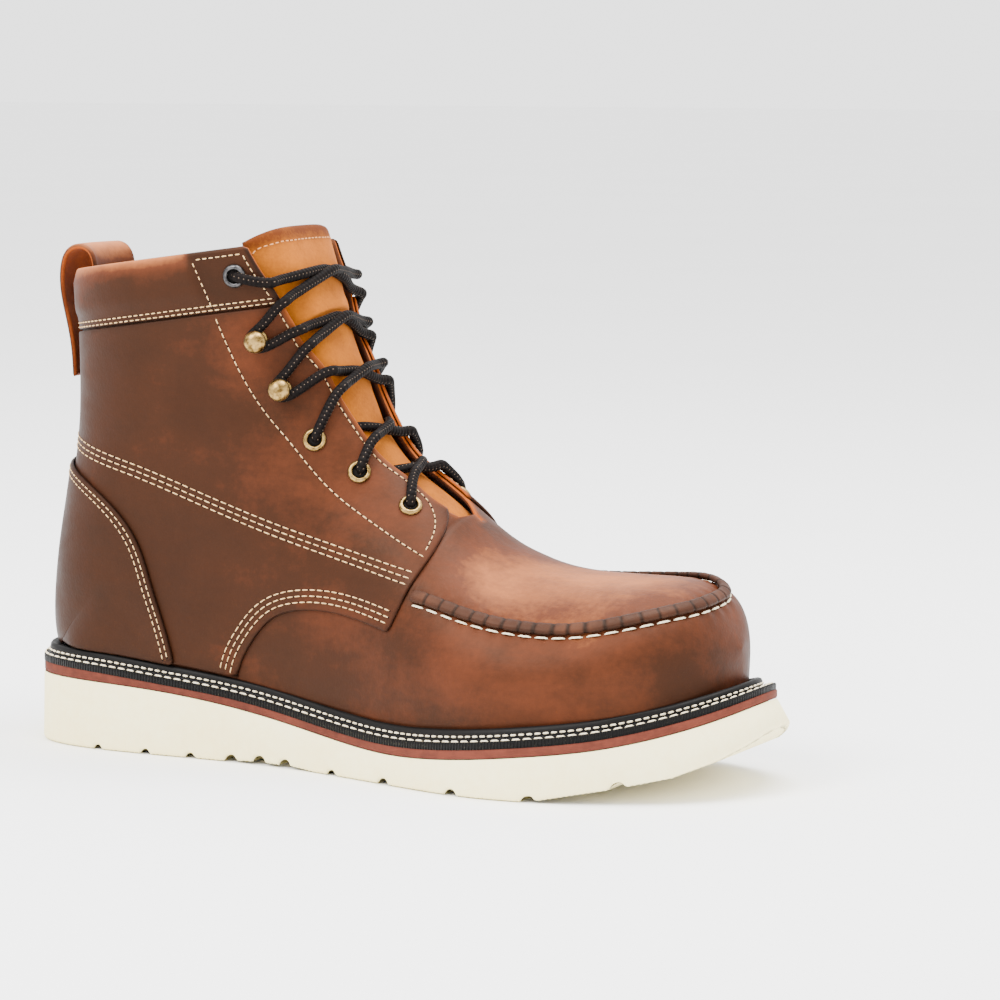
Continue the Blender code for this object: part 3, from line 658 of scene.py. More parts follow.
def shell(v, tri, top, bottom):
    """Closed skin between two heights over the base mesh, which meet where the last column is 0."""
    rim = v[:, -1] <= 1e-4
    heights = np.where(rim, (top + bottom) / 2, top)
    upper = v[:, POS] + v[:, NRM] * heights[:, None]
    lower = v[:, POS] + v[:, NRM] * bottom[:, None]
    partner = np.where(rim, np.arange(len(v)), len(v) + np.arange(len(v)))
    return np.vstack([upper, lower]), np.vstack([tri, partner[tri][:, ::-1]])


def to_segment(points, start, along):
    """Nearest place on a segment, as a share of it, and the distance to it."""
    share = np.clip(((points - start) @ along) / max(along @ along, 1e-12), 0, 1)
    return share, np.linalg.norm(points - start - share[:, None] * along, axis=1)


def polygon_distance(points, outline):
    """Distance to a closed outline in its plane, positive inside."""
    a = np.asarray(outline, float)
    b = np.roll(a, -1, axis=0)
    near = np.full(len(points), np.inf)
    inside = np.zeros(len(points), bool)
    for start, stop in zip(a, b):
        along = stop - start
        near = np.minimum(near, to_segment(points, start, along)[1])
        spans = (start[1] > points[:, 1]) != (stop[1] > points[:, 1])
        cut_x = start[0] + (points[:, 1] - start[1]) * along[0] / (along[1] if along[1] else 1e-12)
        inside ^= spans & (points[:, 0] < cut_x)
    return np.where(inside, near, -near)


def path_distance(points, path):
    """Distance to an open path in its plane, positive on its left."""
    near = np.full(len(points), np.inf)
    signed = np.zeros(len(points))
    for start, stop in zip(path, path[1:]):
        along = stop - start
        off = points - start
        gap = to_segment(points, start, along)[1]
        left = np.where(along[0] * off[:, 1] - along[1] * off[:, 0] >= 0, 1, -1)
        closer = gap < near
        near = np.where(closer, gap, near)
        signed = np.where(closer, gap * left, signed)
    return signed


def smoothstep(low, high, x):
    """Smooth rise from 0 to 1 between two values."""
    s = np.clip((np.asarray(x, float) - low) / (high - low), 0, 1)
    return s * s * (3 - 2 * s)


def side_view(v):
    """x and z of places on the boot."""
    return v[:, [0, 2]]


def bead_top(x):
    """Height just over the welt's bead."""
    return side_line("midsole", x) + WELT_BEAD + 2 * SLIP


def back_over_welt(path):
    """The part of a side-view path over the welt, carried back along the welt to behind the heel."""
    path = path[path[:, 1] > bead_top(path[:, 0])]
    x = np.linspace(path[-1, 0], BEHIND, 16)
    return np.vstack([path, np.stack([x, bead_top(x)], axis=1)])


def collar_line(x, lift=0.0):
    """Point of the collar band's lower seam, seen from the side."""
    height, rise = COLLAR_SEAM
    return x, height + rise * x + lift


# Objects and materials

def clear_default():
    """Remove the objects that a new file starts with."""
    for obj in list(bpy.data.objects):
        if obj.name in ("Cube", "Light", "Camera"):
            bpy.data.objects.remove(obj, do_unlink=True)


clear_default()


def link(name, data):
    """A new object in the scene."""
    obj = bpy.data.objects.new(name, data)
    bpy.context.scene.collection.objects.link(obj)
    return obj


def mesh_piece(name, points, faces, stock, replaces=(), slot=None, attributes=None, second=None):
    """A mesh object in the frame of the solids, from boot millimetres, riding on the boot.

    second: another material and the faces that take it.
    """
    mesh = bpy.data.meshes.new(name)
    mesh.from_pydata(row_frame(points).tolist(), [], [list(map(int, f)) for f in faces])
    mesh.validate()
    mesh.materials.append(stock)
    if second is not None:
        mesh.materials.append(second[0])
        mesh.polygons.foreach_set("material_index", np.asarray(second[1], np.int32))
    for key, values in (attributes or {}).items():
        layer = mesh.attributes.new(key, 'FLOAT', 'POINT')
        layer.data.foreach_set("value", np.asarray(values, np.float32))
    mesh.shade_smooth()
    obj = link(name, mesh)
    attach(obj, "root")
    if replaces:
        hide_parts(*replaces)


def srgb(*levels):
    """Linear colour from red, green and blue of 0 to 255."""
    shares = [level / 255 for level in levels]
    linear = [c / 12.92 if c <= 0.04045 else ((c + 0.055) / 1.055) ** 2.4 for c in shares]
    return (*linear, 1.0)


def grey(level):
    """Linear grey."""
    return (level, level, level, 1.0)


class Stock:
    """A Principled material and short ways to add nodes to it."""

    def __init__(self, name, colour, roughness, metallic=0.0):
        self.material = bpy.data.materials.new(name)
        self.material.use_nodes = True
        self.tree = self.material.node_tree
        self.shader = self.tree.nodes["Principled BSDF"]
        self.put(self.shader, {"Base Color": colour, "Roughness": roughness, "Metallic": metallic})
        self.space = self.node("ShaderNodeTexCoord").outputs["Object"]

    def put(self, node, inputs):
        """Set or link inputs of a node."""
        for key, value in inputs.items():
            if isinstance(value, bpy.types.NodeSocket):
                self.tree.links.new(value, node.inputs[key])
            else:
                node.inputs[key].default_value = value

    def node(self, kind, inputs=None, **settings):
        node = self.tree.nodes.new(kind)
        for key, value in settings.items():
            setattr(node, key, value)
        self.put(node, inputs or {})
        return node

    def noise(self, scale, detail=3.0, roughness=0.55, space=None, distortion=0.0):
        inputs = {"Vector": space or self.space, "Scale": scale, "Detail": detail, "Roughness": roughness,
                  "Distortion": distortion}
        return self.node("ShaderNodeTexNoise", inputs).outputs["Fac"]

    def cells(self, scale):
        inputs = {"Vector": self.space, "Scale": scale}
        return self.node("ShaderNodeTexVoronoi", inputs, feature='F1').outputs["Distance"]

    def math(self, operation, a, b=0.0, clamp=False):
        node = self.node("ShaderNodeMath", operation=operation, use_clamp=clamp)
        self.put(node, {0: a, 1: b})
        return node.outputs[0]

    def spread(self, value, low, high, to_low=0.0, to_high=1.0):
        inputs = {"Value": value, "From Min": low, "From Max": high, "To Min": to_low, "To Max": to_high}
        return self.node("ShaderNodeMapRange", inputs).outputs["Result"]

    def by_noise(self, noise, low, high):
        """Values from low to high over the usual range of noise."""
        return self.spread(noise, 0.3, 0.7, low, high)

    def vary(self, value, noise, amount, clamp=False):
        """A value raised and lowered by noise."""
        return self.math('ADD', value, self.by_noise(noise, -amount, amount), clamp)

    def ramp(self, value, *stops):
        node = self.node("ShaderNodeValToRGB", {"Fac": value})
        ramp = node.color_ramp
        while len(ramp.elements) < len(stops):
            ramp.elements.new(0.5)
        for element, (place, colour) in zip(ramp.elements, stops):
            element.position = place
            element.color = colour
        return node.outputs["Color"]

    def mix(self, share, a, b):
        node = self.node("ShaderNodeMix", data_type='RGBA', blend_type='MIX')
        self.put(node, {0: share, 6: a, 7: b})
        return node.outputs[2]

    def field(self, name):
        return self.node("ShaderNodeAttribute", attribute_name=name).outputs["Fac"]

    def bump(self, height, strength, distance):
        """A bump over those there already."""
        bump = self.node("ShaderNodeBump", {"Height": height, "Strength": strength, "Distance": distance})
        chain = self.shader.inputs["Normal"]
        if chain.is_linked:
            self.put(bump, {"Normal": chain.links[0].from_socket})
        self.put(self.shader, {"Normal": bump.outputs["Normal"]})

    def stretched(self, x, y, z):
        return self.node("ShaderNodeMapping", {"Vector": self.space, "Scale": (x, y, z)}).outputs["Vector"]


LEATHER_ROUGH = 0.5
# Dark brown cut edges, spread wider than the edge itself as painted shade along it; the same colour paints
# the shade in the pleat folds of the raised seam
DARK_EDGE_AND_SHADE, RAW_EDGE = srgb(24, 12, 8), srgb(156, 76, 22)
EDGE_RIB = 1.3            # pitch of the pressed ribs on the welt's edge
FLECK_PITCH = 3.4         # along the lace


def oiled_leather(name, dark, middle, warm, light):
    """Oiled pull-up leather: tone from the piece (its own tone with painted highlights and shade), cloudy
    mottling, fine grain, raw edges, and dark edges with painted shade along them.
    """
    stock = Stock(name, middle, LEATHER_ROUGH)
    cloud = stock.noise(34, 4.0, 0.6, distortion=0.4)
    streak = stock.noise(70, 5.0, 0.65, stock.stretched(0.35, 1.0, 1.0))
    fine = stock.noise(420, 3.0, 0.6)
    tone = stock.vary(stock.field("tone"), cloud, 0.08)
    tone = stock.vary(tone, streak, 0.06)
    tone = stock.vary(tone, fine, 0.025, clamp=True)
    colour = stock.ramp(tone, (0.0, dark), (0.40, middle), (0.62, warm), (1.0, light))
    rim = stock.spread(stock.field("rim"), 0.0, 1.0, 0.0, 0.75)
    colour = stock.mix(rim, colour, DARK_EDGE_AND_SHADE)
    raw = stock.spread(stock.field("rim"), -1.0, 0.0, 0.95, 0.0)
    colour = stock.mix(raw, colour, RAW_EDGE)
    grain = stock.math('ADD', stock.cells(900), stock.math('MULTIPLY', stock.noise(1500, 2.0), 0.5))
    rough = stock.by_noise(streak, LEATHER_ROUGH - 0.08, LEATHER_ROUGH + 0.10)
    stock.put(stock.shader, {"Base Color": colour, "Roughness": rough, "Specular IOR Level": 0.12,
                             "Specular Tint": srgb(255, 224, 200)})
    stock.bump(grain, 0.10, 0.0004)
    stock.bump(stock.noise(160, 3.0), 0.16, 0.0008)
    return stock.material


def nubuck(name, dark, light):
    """Napped leather with soft cloudy shade."""
    stock = Stock(name, light, 0.9)
    cloud = stock.noise(60, 4.0, 0.65)
    nap = stock.noise(900, 4.0, 0.7)
    tone = stock.vary(stock.field("tone"), cloud, 0.25)
    tone = stock.vary(tone, nap, 0.12, clamp=True)
    colour = stock.ramp(tone, (0.0, dark), (1.0, light))
    stock.put(stock.shader, {"Base Color": colour, "Sheen Weight": 0.02, "Sheen Roughness": 0.6,
                             "Specular IOR Level": 0.1})
    stock.bump(nap, 0.25, 0.0004)
    return stock.material


def rubber(name, dark, light, roughness, ribbed=False):
    """Matt rubber with fine specks, and with ribs where the piece has an outer edge."""
    stock = Stock(name, light, roughness)
    speck = stock.noise(300.0, 4.0, 0.6)
    cloud = stock.noise(22, 4.0, 0.6)
    tone = stock.math('ADD', stock.math('MULTIPLY', speck, 0.45), stock.math('MULTIPLY', cloud, 0.55))
    stock.put(stock.shader, {"Base Color": stock.ramp(tone, (0.30, dark), (0.62, light)),
                             "Roughness": stock.by_noise(speck, roughness - 0.05, roughness + 0.07),
                             "Specular IOR Level": 0.12})
    stock.bump(speck, 0.08, 0.0003)
    if ribbed:
        wave = stock.math('SINE', stock.math('MULTIPLY', stock.field("along"), 2.0 * math.pi / EDGE_RIB))
        stock.bump(stock.math('MULTIPLY', wave, stock.field("outer_edge")), 0.8, 0.0005)
    return stock.material


def metal(name, dark, light, roughness):
    """Metal with a worn patina."""
    stock = Stock(name, light, roughness, 1.0)
    patina = stock.noise(500, 4.0, 0.6)
    stock.put(stock.shader, {"Base Color": stock.ramp(patina, (0.35, dark), (0.6, light)),
                             "Roughness": stock.by_noise(patina, roughness - 0.06, roughness + 0.12)})
    stock.bump(patina, 0.05, 0.0002)
    return stock.material


def thread(name, dark, light):
    """Twisted sewing thread."""
    stock = Stock(name, light, 0.75)
    twist = stock.noise(1600, 2.0)
    stock.put(stock.shader, {"Base Color": stock.ramp(twist, (0.3, dark), (0.65, light))})
    stock.bump(twist, 0.3, 0.0002)
    return stock.material


def lace_stock(name):
    """Round braid: dark with pale flecks in two crossing turns."""
    stock = Stock(name, srgb(34, 24, 20), 0.7)
    along, around = stock.field("along"), stock.field("around")
    turns = [stock.math('SINE', stock.math('ADD', stock.math('MULTIPLY', along, 2.0 * math.pi / FLECK_PITCH),
                                           stock.math('MULTIPLY', around, side * 4.0 * math.pi)))
             for side in (1, -1)]
    both = stock.math('MULTIPLY', *turns)
    fleck = stock.spread(both, 0.70, 0.9)
    band = stock.spread(stock.math('SINE', stock.math('MULTIPLY', around, 4.0 * math.pi)), 0.1, 0.5)
    share = stock.math('MULTIPLY', fleck, band, clamp=True)
    dark = stock.ramp(stock.noise(700, 3.0), (0.35, srgb(5, 3, 3)), (0.65, srgb(16, 10, 8)))
    stock.put(stock.shader, {"Base Color": stock.mix(share, dark, srgb(150, 128, 108)),
                             "Specular IOR Level": 0.08})
    stock.bump(both, 0.5, 0.0005)
    return stock.material


LEATHER = oiled_leather(
    "brown_leather", srgb(28, 15, 8), srgb(48, 24, 12), srgb(80, 39, 21), srgb(172, 102, 56))
SEAM_LEATHER = oiled_leather(
    "seam_leather", srgb(18, 11, 8), srgb(40, 23, 16), srgb(56, 32, 22), srgb(104, 62, 42))
RAW_LEATHER = nubuck("raw_leather", srgb(84, 34, 10), srgb(170, 82, 28))
NUBUCK = nubuck("tan_nubuck", srgb(86, 38, 4), srgb(166, 92, 14))
LINING = nubuck("lining", srgb(46, 24, 13), srgb(96, 54, 30))
FOOTBED = nubuck("footbed", srgb(84, 54, 32), srgb(140, 98, 62))
CREAM = rubber("cream_rubber", srgb(250, 233, 172), srgb(255, 244, 192), 0.62)
RUST = rubber("rust_rubber", srgb(62, 28, 20), srgb(98, 48, 36), 0.75)
BLACK = rubber("black_welt", srgb(4, 3, 3), srgb(11, 9, 8), 0.5, ribbed=True)
BRASS = metal("antique_brass", srgb(88, 66, 32), srgb(164, 134, 80), 0.3)
DARK_METAL = metal("dark_metal", srgb(40, 40, 42), srgb(86, 84, 84), 0.3)
# Near-black disc in each eyelet: painted shade standing in for the dark inside the hole
HOLE_SHADE = rubber("eyelet_hole_shade", srgb(6, 5, 5), srgb(16, 13, 12), 0.8)
THREAD = thread("cream_thread", srgb(170, 128, 80), srgb(218, 182, 130))
WHITE_THREAD = thread("white_thread", srgb(206, 186, 148), srgb(250, 238, 208))
TAN_THREAD = thread("tan_thread", srgb(170, 104, 52), srgb(214, 150, 92))
# Dark lens at each stitch hole: painted shade standing in for the recess of the hole
PRICK_SHADE = rubber("stitch_hole_shade", srgb(8, 4, 3), srgb(18, 9, 6), 0.8)
LACE = lace_stock("lace_cord")

# Lighter and darker patches of the leather, listed: partly its own uneven tone, partly painted highlight on
# the top of the plug, the eyestays and the top of the collar
PATCHES = [
    # x, y, z, spread along, spread across, change of tone
    # the plug's lighter tone, with a painted highlight on its top
    (240, -6, 78, 42, 40, 0.42),
    (205, -30, 76, 24, 22, 0.22),
    # painted highlight on the outer eyestay
    (150, -30, 112, 30, 24, 0.15),
    (112, -36, 165, 20, 30, 0.14),
    (225, -58, 40, 34, 16, 0.12),
    (262, -44, 44, 18, 16, 0.04),
    (284, -26, 48, 14, 18, -0.12),
    (190, -54, 34, 26, 12, 0.02),
    (30, -30, 75, 36, 40, -0.10),
    (85, -38, 70, 28, 24, -0.10),
    (60, -38, 140, 36, 26, -0.06),
    (75, -38, 182, 40, 10, -0.16),
    # painted highlight along the top of the collar, on both sides
    (60, -34, 200, 60, 5, 0.20),
    (60, 34, 200, 60, 5, 0.20),
    # painted highlight on the inner eyestay
    (150, 30, 112, 30, 24, 0.15),
    (225, 48, 40, 34, 16, 0.12),
    (284, 30, 48, 14, 18, -0.10),
    (30, 30, 75, 36, 40, -0.10),
    (85, 36, 70, 28, 24, -0.10),
]
BASE_TONE = 0.40


def leather_tone_and_highlights(points):
    """Tone of the leather at places on the boot: its own uneven tone, with painted highlights on the plug,
    the eyestays and the top of the collar.
    """
    tone = np.full(len(points), BASE_TONE)
    for x, y, z, along, across, change in PATCHES:
        off = (points - (x, y, z)) / (along, across, across)
        tone += change * np.exp(-(off ** 2).sum(1))
    return tone


# Soft creases, seen from the side: troughs and ridges in millimetres
CREASES = [
    # x, z, x, z, half width, depth
    (176, 62, 196, 40, 7, -0.5),
    (150, 96, 112, 118, 8, -0.45),
    (118, 112, 84, 130, 9, 0.4),
    (96, 150, 78, 120, 10, -0.5),
    (60, 156, 40, 130, 10, 0.4),
    (206, 80, 190, 62, 6, 0.4),
    (26, 120, 52, 150, 9, -0.4),
    (88, 60, 60, 44, 8, 0.35),
]


def relief(points):
    """Soft rise and fall of the leather over its plain form."""
    rise = np.zeros(len(points))
    flat = side_view(points)
    for x0, z0, x1, z1, half, depth in CREASES:
        share, gap = to_segment(flat, np.array([x0, z0]), np.array([x1 - x0, z1 - z0]))
        fade = np.sin(np.pi * np.clip(share, 0.02, 0.98)) ** 0.5
        rise += depth * np.exp(-(gap / half) ** 2) * fade
    return rise


# Seam path on the upper, from the outer to the inner side
SEAM_STEP = 0.45
SEAM_CALM = 12            # points on each side that a normal is averaged over


def seam_path():
    """Places, normals and running length along the raised seam."""
    outer = [(x, -y) for x, y, _ in SEAM]
    inner = [(x, y) for x, _, y in reversed(SEAM)]
    plan = even_path(smooth_path([*outer, SEAM_TOE, *inner], 500), SEAM_STEP)
    hits = [BASE_TREE.ray_cast(Vector((x, y, 300)), Vector((0, 0, -1))) for x, y in plan]
    place = np.array([hit[0] for hit in hits])
    normal = np.array([hit[1] for hit in hits])
    padded = np.pad(normal, ((SEAM_CALM, SEAM_CALM), (0, 0)), 'edge')
    span = 2 * SEAM_CALM + 1
    return place, unit(convolved(padded, np.ones(span) / span)), chord_knots(place)


SEAM_PLACE, SEAM_NORMAL, SEAM_RUN = seam_path()


def pucker(points):
    """Small gathers of the leather beside the raised seam."""
    rise = np.zeros(len(points))
    near = np.flatnonzero((points[:, 0] > 172) & (points[:, 2] > 42))
    for part in np.array_split(near, max(len(near) // 2000, 1)):
        gap = np.linalg.norm(points[part][:, None] - SEAM_PLACE[None], axis=2)
        nearest = gap.argmin(1)
        gap = gap.min(1)
        wave = np.cos(2 * np.pi * SEAM_RUN[nearest] / PLEAT)
        rise[part] = (GATHER * wave * np.exp(-(gap / GATHER_REACH) ** 2)
                      - DIP * np.exp(-(gap / DIP_REACH) ** 2))
    return rise


def rounded(distance, radius):
    """Rise of a rounded edge from 0 at the edge to 1."""
    return np.sqrt(np.clip(1 - (1 - np.clip(distance / radius, 0, 1)) ** 2, 0, 1))


def edge_fade(distance):
    """1 at an edge, falling off a little way from it."""
    return np.exp(-distance / PANEL_EDGE)


def add_skin(name, v, tri, top, bottom, nodes, rim=None, tone=0.0, inside=None):
    """Leather skin between two heights over the base mesh.

    rim: dark edges with painted shade along them where it is positive, raw ones where it is negative. inside:
    material of the lower face.
    """
    points, faces = shell(v, tri, top, bottom)
    if rim is None:
        rim = edge_fade(v[:, -1])
    fields = {"tone": np.tile(leather_tone_and_highlights(v[:, POS]) + tone, 2), "rim": np.tile(rim, 2)}
    second = None
    if inside is not None:
        second = inside, np.repeat([0, 1], len(tri))
    mesh_piece(name, points, faces, LEATHER, nodes, "brown_leather", fields, second)


def make_upper():
    """Upper with creases, gathers at the seam, raw edges at the throat and a lining."""
    edge = BASE[:, [THROAT_GAP, LOW_GAP, COLLAR_GAP]].min(axis=1)
    v, tri = trimmed(edge, (0.3, 1.0))
    swell = relief(v[:, POS]) + pucker(v[:, POS])
    cut_off = 1 - rounded(v[:, -1], 1.0)
    rim = -np.exp(-v[:, THROAT_GAP] / 1.2)
    add_skin("upper_leather", v, tri, swell - cut_off, swell - WALL + cut_off, ["upper"], rim, inside=LINING)


def quarter_outline():
    """Outline of the quarters, seen from the side."""
    path = np.vstack([smooth_path(QUARTER_FRONT, 40), smooth_path(WING_EDGE, 60)[1:]])
    return np.vstack([back_over_welt(path), collar_line(BEHIND, -SLIP), collar_line(AHEAD, -SLIP)])


def counter_outline():
    """Outline of the counters, seen from the side."""
    return back_over_welt(smooth_path(COUNTER_EDGE, 60))


BACKSTAY_FRONT = 70.0
FLAT = side_view(BASE)
ACROSS = np.abs(BASE[:, 1])
QUARTER_GAP = np.minimum(polygon_distance(FLAT, quarter_outline()), BASE[:, THROAT_GAP])
COUNTER_GAP = np.minimum(polygon_distance(FLAT, counter_outline()), ACROSS - BACKSTAY_HALF - SLIP)
OVER_SEAM = BASE[:, 2] - collar_line(BASE[:, 0])[1]
EYESTAY_GAP = path_distance(FLAT, smooth_path(EYESTAY_STITCH, 60))


def add_panel(name, node, distance, lift, rim=None, tone=0.0):
    """A panel with rounded edges where a distance is positive; rim is a function of its vertices."""
    v, tri = trimmed(distance, (0.2, PANEL_EDGE))
    swell = relief(v[:, POS]) + lift
    add_skin(name, v, tri, swell + PANEL * rounded(v[:, -1], PANEL_EDGE), swell, [node],
             rim and rim(v), tone)


def quarter_rim(v):
    """Raw edges at the throat, dark ones with painted shade along them elsewhere."""
    throat = v[:, THROAT_GAP]
    return np.where(throat < 2, -edge_fade(throat), edge_fade(v[:, -1]))


def backstay_rim(v):
    """Raw edges."""
    return -edge_fade(v[:, -1])


def make_panels():
    """Quarters, counters and backstay."""
    add_panel("quarter_leather", "quarters", QUARTER_GAP, SLIP, quarter_rim)
    for side, node in ((OUTER, "counter_outer"), (INNER, "counter_inner")):
        gap = np.where(BASE[:, 1] * side > 0, COUNTER_GAP, -NOT_NEAR)
        add_panel(node + "_leather", node, gap, SECOND_LAYER, tone=-0.03)
    strip = np.minimum.reduce([BACKSTAY_HALF - ACROSS, BASE[:, 2] - bead_top(BASE[:, 0]), -OVER_SEAM - SLIP,
                               BACKSTAY_FRONT - BASE[:, 0]])
    add_panel("backstay_leather", "backstay", strip, SECOND_LAYER, backstay_rim)


def make_collar_band():
    """Padded band around the top, flat and dark over the eyestay, with a painted highlight along its top."""
    band = np.minimum.reduce([OVER_SEAM, BASE[:, THROAT_GAP], BASE[:, COLLAR_GAP]])
    v, tri = trimmed(band, (0.3, 1.0, 2.2), OVER_SEAM, EYESTAY_GAP)
    over, eyestay, collar = v[:, -3], v[:, -2], v[:, COLLAR_GAP]
    block = smoothstep(-3.0, 1.0, eyestay)
    pad = smoothstep(2.6, 9.0, over) * (1 - block) * smoothstep(0, 6, collar)
    lean = COLLAR_FLAT * rounded(v[:, -1], PANEL_EDGE) * (0.35 + 0.65 * rounded(collar, 2.2))
    height = SLIP + lean + (COLLAR_PAD - COLLAR_FLAT) * pad
    swell = relief(v[:, POS])
    binding = block * (v[:, THROAT_GAP] < 1.6)
    rim = np.maximum(np.exp(-np.maximum(over, 0) / 0.4), binding)
    # Tone: darker leather over the eyestay block, and a painted highlight along the top of the padded band.
    add_skin("collar_band_leather", v, tri, swell + height, swell + SLIP, ["collar_band"], rim,
             tone=-0.10 * block + 0.55 * np.exp(-collar / 4.5) * (1 - block))


def ring_faces(rings, count):
    """Triangles of a tube of rings, each with as many vertices."""
    i, k = np.meshgrid(np.arange(rings - 1), np.arange(count), indexing='ij')
    a = (i * count + k).ravel()
    b = (i * count + (k + 1) % count).ravel()
    return np.vstack([np.stack([a, b, b + count], 1), np.stack([a, b + count, a + count], 1)])


def fan(first, count, middle, flip=False):
    """Triangles from a ring of vertices to one in its middle."""
    k = np.arange(count)
    faces = np.stack([first + k, first + (k + 1) % count, np.full(count, middle)], 1)
    return faces[:, ::-1] if flip else faces


def turn(count):
    """Angles of evenly spaced places around a circle."""
    return np.linspace(0, 2 * np.pi, count, endpoint=False)


def tube_mesh(path, normals, profile):
    """Closed tube of a profile (across, up) carried along a path; profile may vary along it."""
    along = unit(np.gradient(path, axis=0))
    across = unit(np.cross(along, normals))
    up = np.cross(across, along)
    profile = np.broadcast_to(profile, (len(path), *profile.shape[-2:]))
    points = path[:, None] + across[:, None] * profile[..., :1] + up[:, None] * profile[..., 1:]
    count = profile.shape[1]
    verts = np.vstack([points.reshape(-1, 3), points[0].mean(0), points[-1].mean(0)])
    last = (len(path) - 1) * count
    faces = np.vstack([ring_faces(len(path), count), fan(0, count, len(verts) - 2, True),
                       fan(last, count, len(verts) - 1)])
    return verts, faces


def make_moc_seam():
    """Raised seam: a gathered ridge with painted shade in the fold at each pleat and a painted highlight
    along its crest.
    """
    angle = turn(14)
    phase = (SEAM_RUN / PLEAT + 0.5) % 1.0 - 0.5
    wobble = 0.06 * np.sin(SEAM_RUN * 0.9) + 0.05 * np.sin(SEAM_RUN * 0.37 + 1.0)
    fold = np.exp(-((phase + wobble) * PLEAT / 0.55) ** 2)
    swell = 1 - 0.20 * fold + 0.05 * np.cos(2 * np.pi * phase)
    width = RIDGE_HALF * (1 - 0.10 * fold)
    from_end = np.minimum(SEAM_RUN, SEAM_RUN[-1] - SEAM_RUN)
    ends = np.minimum(1.0, rounded(from_end, 2.0) * 0.4 + 0.6)
    across = np.cos(angle)[None] * (width * ends)[:, None]
    bow = np.sign(np.sin(angle)) * np.abs(np.sin(angle)) ** 0.8
    up = RIDGE_RISE + bow * (RIDGE_RISE * swell * ends)[:, None] + 0.1
    points, faces = tube_mesh(SEAM_PLACE, SEAM_NORMAL, np.stack([across, up], axis=2))
    # Tone: painted shade in the pleat folds, a little uneven tone along the seam, and a painted highlight on
    # the upper half of the ridge.
    tone = np.append(np.repeat(0.45 - 0.45 * fold + 0.05 * np.sin(SEAM_RUN * 0.21), len(angle)), [0.3, 0.3])
    tone += np.append(np.tile(0.16 * np.clip(np.sin(angle), 0, 1), len(SEAM_RUN)), [0, 0])
    # Painted shade deepening each pleat fold, through the dark edge colour.
    rim = np.append(np.repeat(0.9 * fold ** 2, len(angle)), [0, 0])
    mesh_piece("moc_seam_ridge", points, faces, SEAM_LEATHER, ["moc_seam"], "brown_leather",
               {"tone": tone, "rim": rim})


def toe_flare(x):
    """How far the layers over the tread stand back at the toe."""
    return TOE_FLARE * np.interp(x, FLARE_RUN, (0, 1))


def sole_sides(inset, count, flared):
    """Outer and inner points of the outline set in by a distance, at the same places along the sole."""
    inset = inset + (1 - flared) * toe_flare(OUTLINE_POINTS[:, 0])[:, None]
    points = OUTLINE_POINTS - OUTLINE_NORMALS * inset
    points = np.roll(points, -points[:, 0].argmin(), axis=0)
    toe = points[:, 0].argmax()
    outer = points[:toe + 1]
    inner = np.vstack([points[toe:], points[:1]])[::-1]
    x = points[0, 0] + (points[toe, 0] - points[0, 0]) * (1 - np.cos(np.linspace(0, math.pi, count))) / 2
    return x, np.interp(x, outer[:, 0], outer[:, 1]), np.interp(x, inner[:, 0], inner[:, 1])


def slab(layers, count, columns):
    """Closed layer of the sole through loops, with grids across its lowest and highest.

    layers: inset, share of the full outline at the toe, and height.
    """
    loops = []
    for inset, flared, height in layers:
        x, outer, inner = sole_sides(inset, count, flared)
        there = np.stack([x, outer, height(x)], 1)
        back = np.stack([x, inner, height(x)], 1)[-2:0:-1]
        loops.append(np.vstack([there, back]))
    parts = [(np.vstack(loops), ring_faces(len(layers), len(loops[0])))]
    for (inset, flared, height), flip in ((layers[0], True), (layers[-1], False)):
        x, outer, inner = sole_sides(inset, count, flared)
        y = outer[:, None] + (inner - outer)[:, None] * np.linspace(0, 1, columns)[None]
        grid = np.stack(np.broadcast_arrays(x[:, None], y, height(x)[:, None]), 2)
        parts.append((grid.reshape(-1, 3), grid_faces(count, columns, flip)))
    return weld(*joined(parts))[:2]


def above(name, lift):
    """Height over a line along the side of the sole."""
    return lambda x: side_line(name, x) + lift


RIB_PITCH, RIB_DEPTH = 1.9, 0.35    # fine ribs of the tread


def tread_under(lift):
    """Underside of the tread: notches across it and fine ribs between them."""
    def height(x):
        low = side_line("tread", x)
        rise = RIB_DEPTH * np.abs((x / RIB_PITCH) % 1.0 - 0.5) * 2
        for at, radius in NOTCHES:
            depth = (NOTCH_DEPTH - 1) * radius + np.sqrt(np.clip(radius ** 2 - (x - at) ** 2, 0, None))
            rise = np.maximum(rise, np.where(np.abs(x - at) < radius, depth, 0))
        return low + rise + lift
    return height


def make_outsole():
    """Outsole with its notches and ribs."""
    points, faces = slab([
        (EDGE_ROUND, 1, tread_under(0)),
        (EDGE_ROUND * 0.3, 1, tread_under(EDGE_ROUND * 0.3)),
        (0, 1, tread_under(EDGE_ROUND)),
        (0.5, 0.1, above("outsole", -1.4)),
        (EDGE_ROUND / 2 - 0.1, 0, above("outsole", -0.4)),
        (EDGE_ROUND / 2, 0, above("outsole", 0)),
    ], 760, 10)
    mesh_piece("outsole_rubber", points, faces, CREAM, ["outsole"], "cream_rubber")


def make_midsole():
    """Midsole with its edges eased."""
    points, faces = slab([
        (EDGE_ROUND / 2 + 0.2, 0, above("outsole", SLIP)),
        (EDGE_ROUND / 2 - 0.1, 0, above("outsole", SLIP + 0.5)),
        (EDGE_ROUND / 2 - 0.1, 0, above("midsole", -0.5)),
        (EDGE_ROUND / 2 + 0.2, 0, above("midsole", 0)),
    ], 260, 4)
    mesh_piece("midsole_rubber", points, faces, RUST, ["midsole"], "rust_rubber")


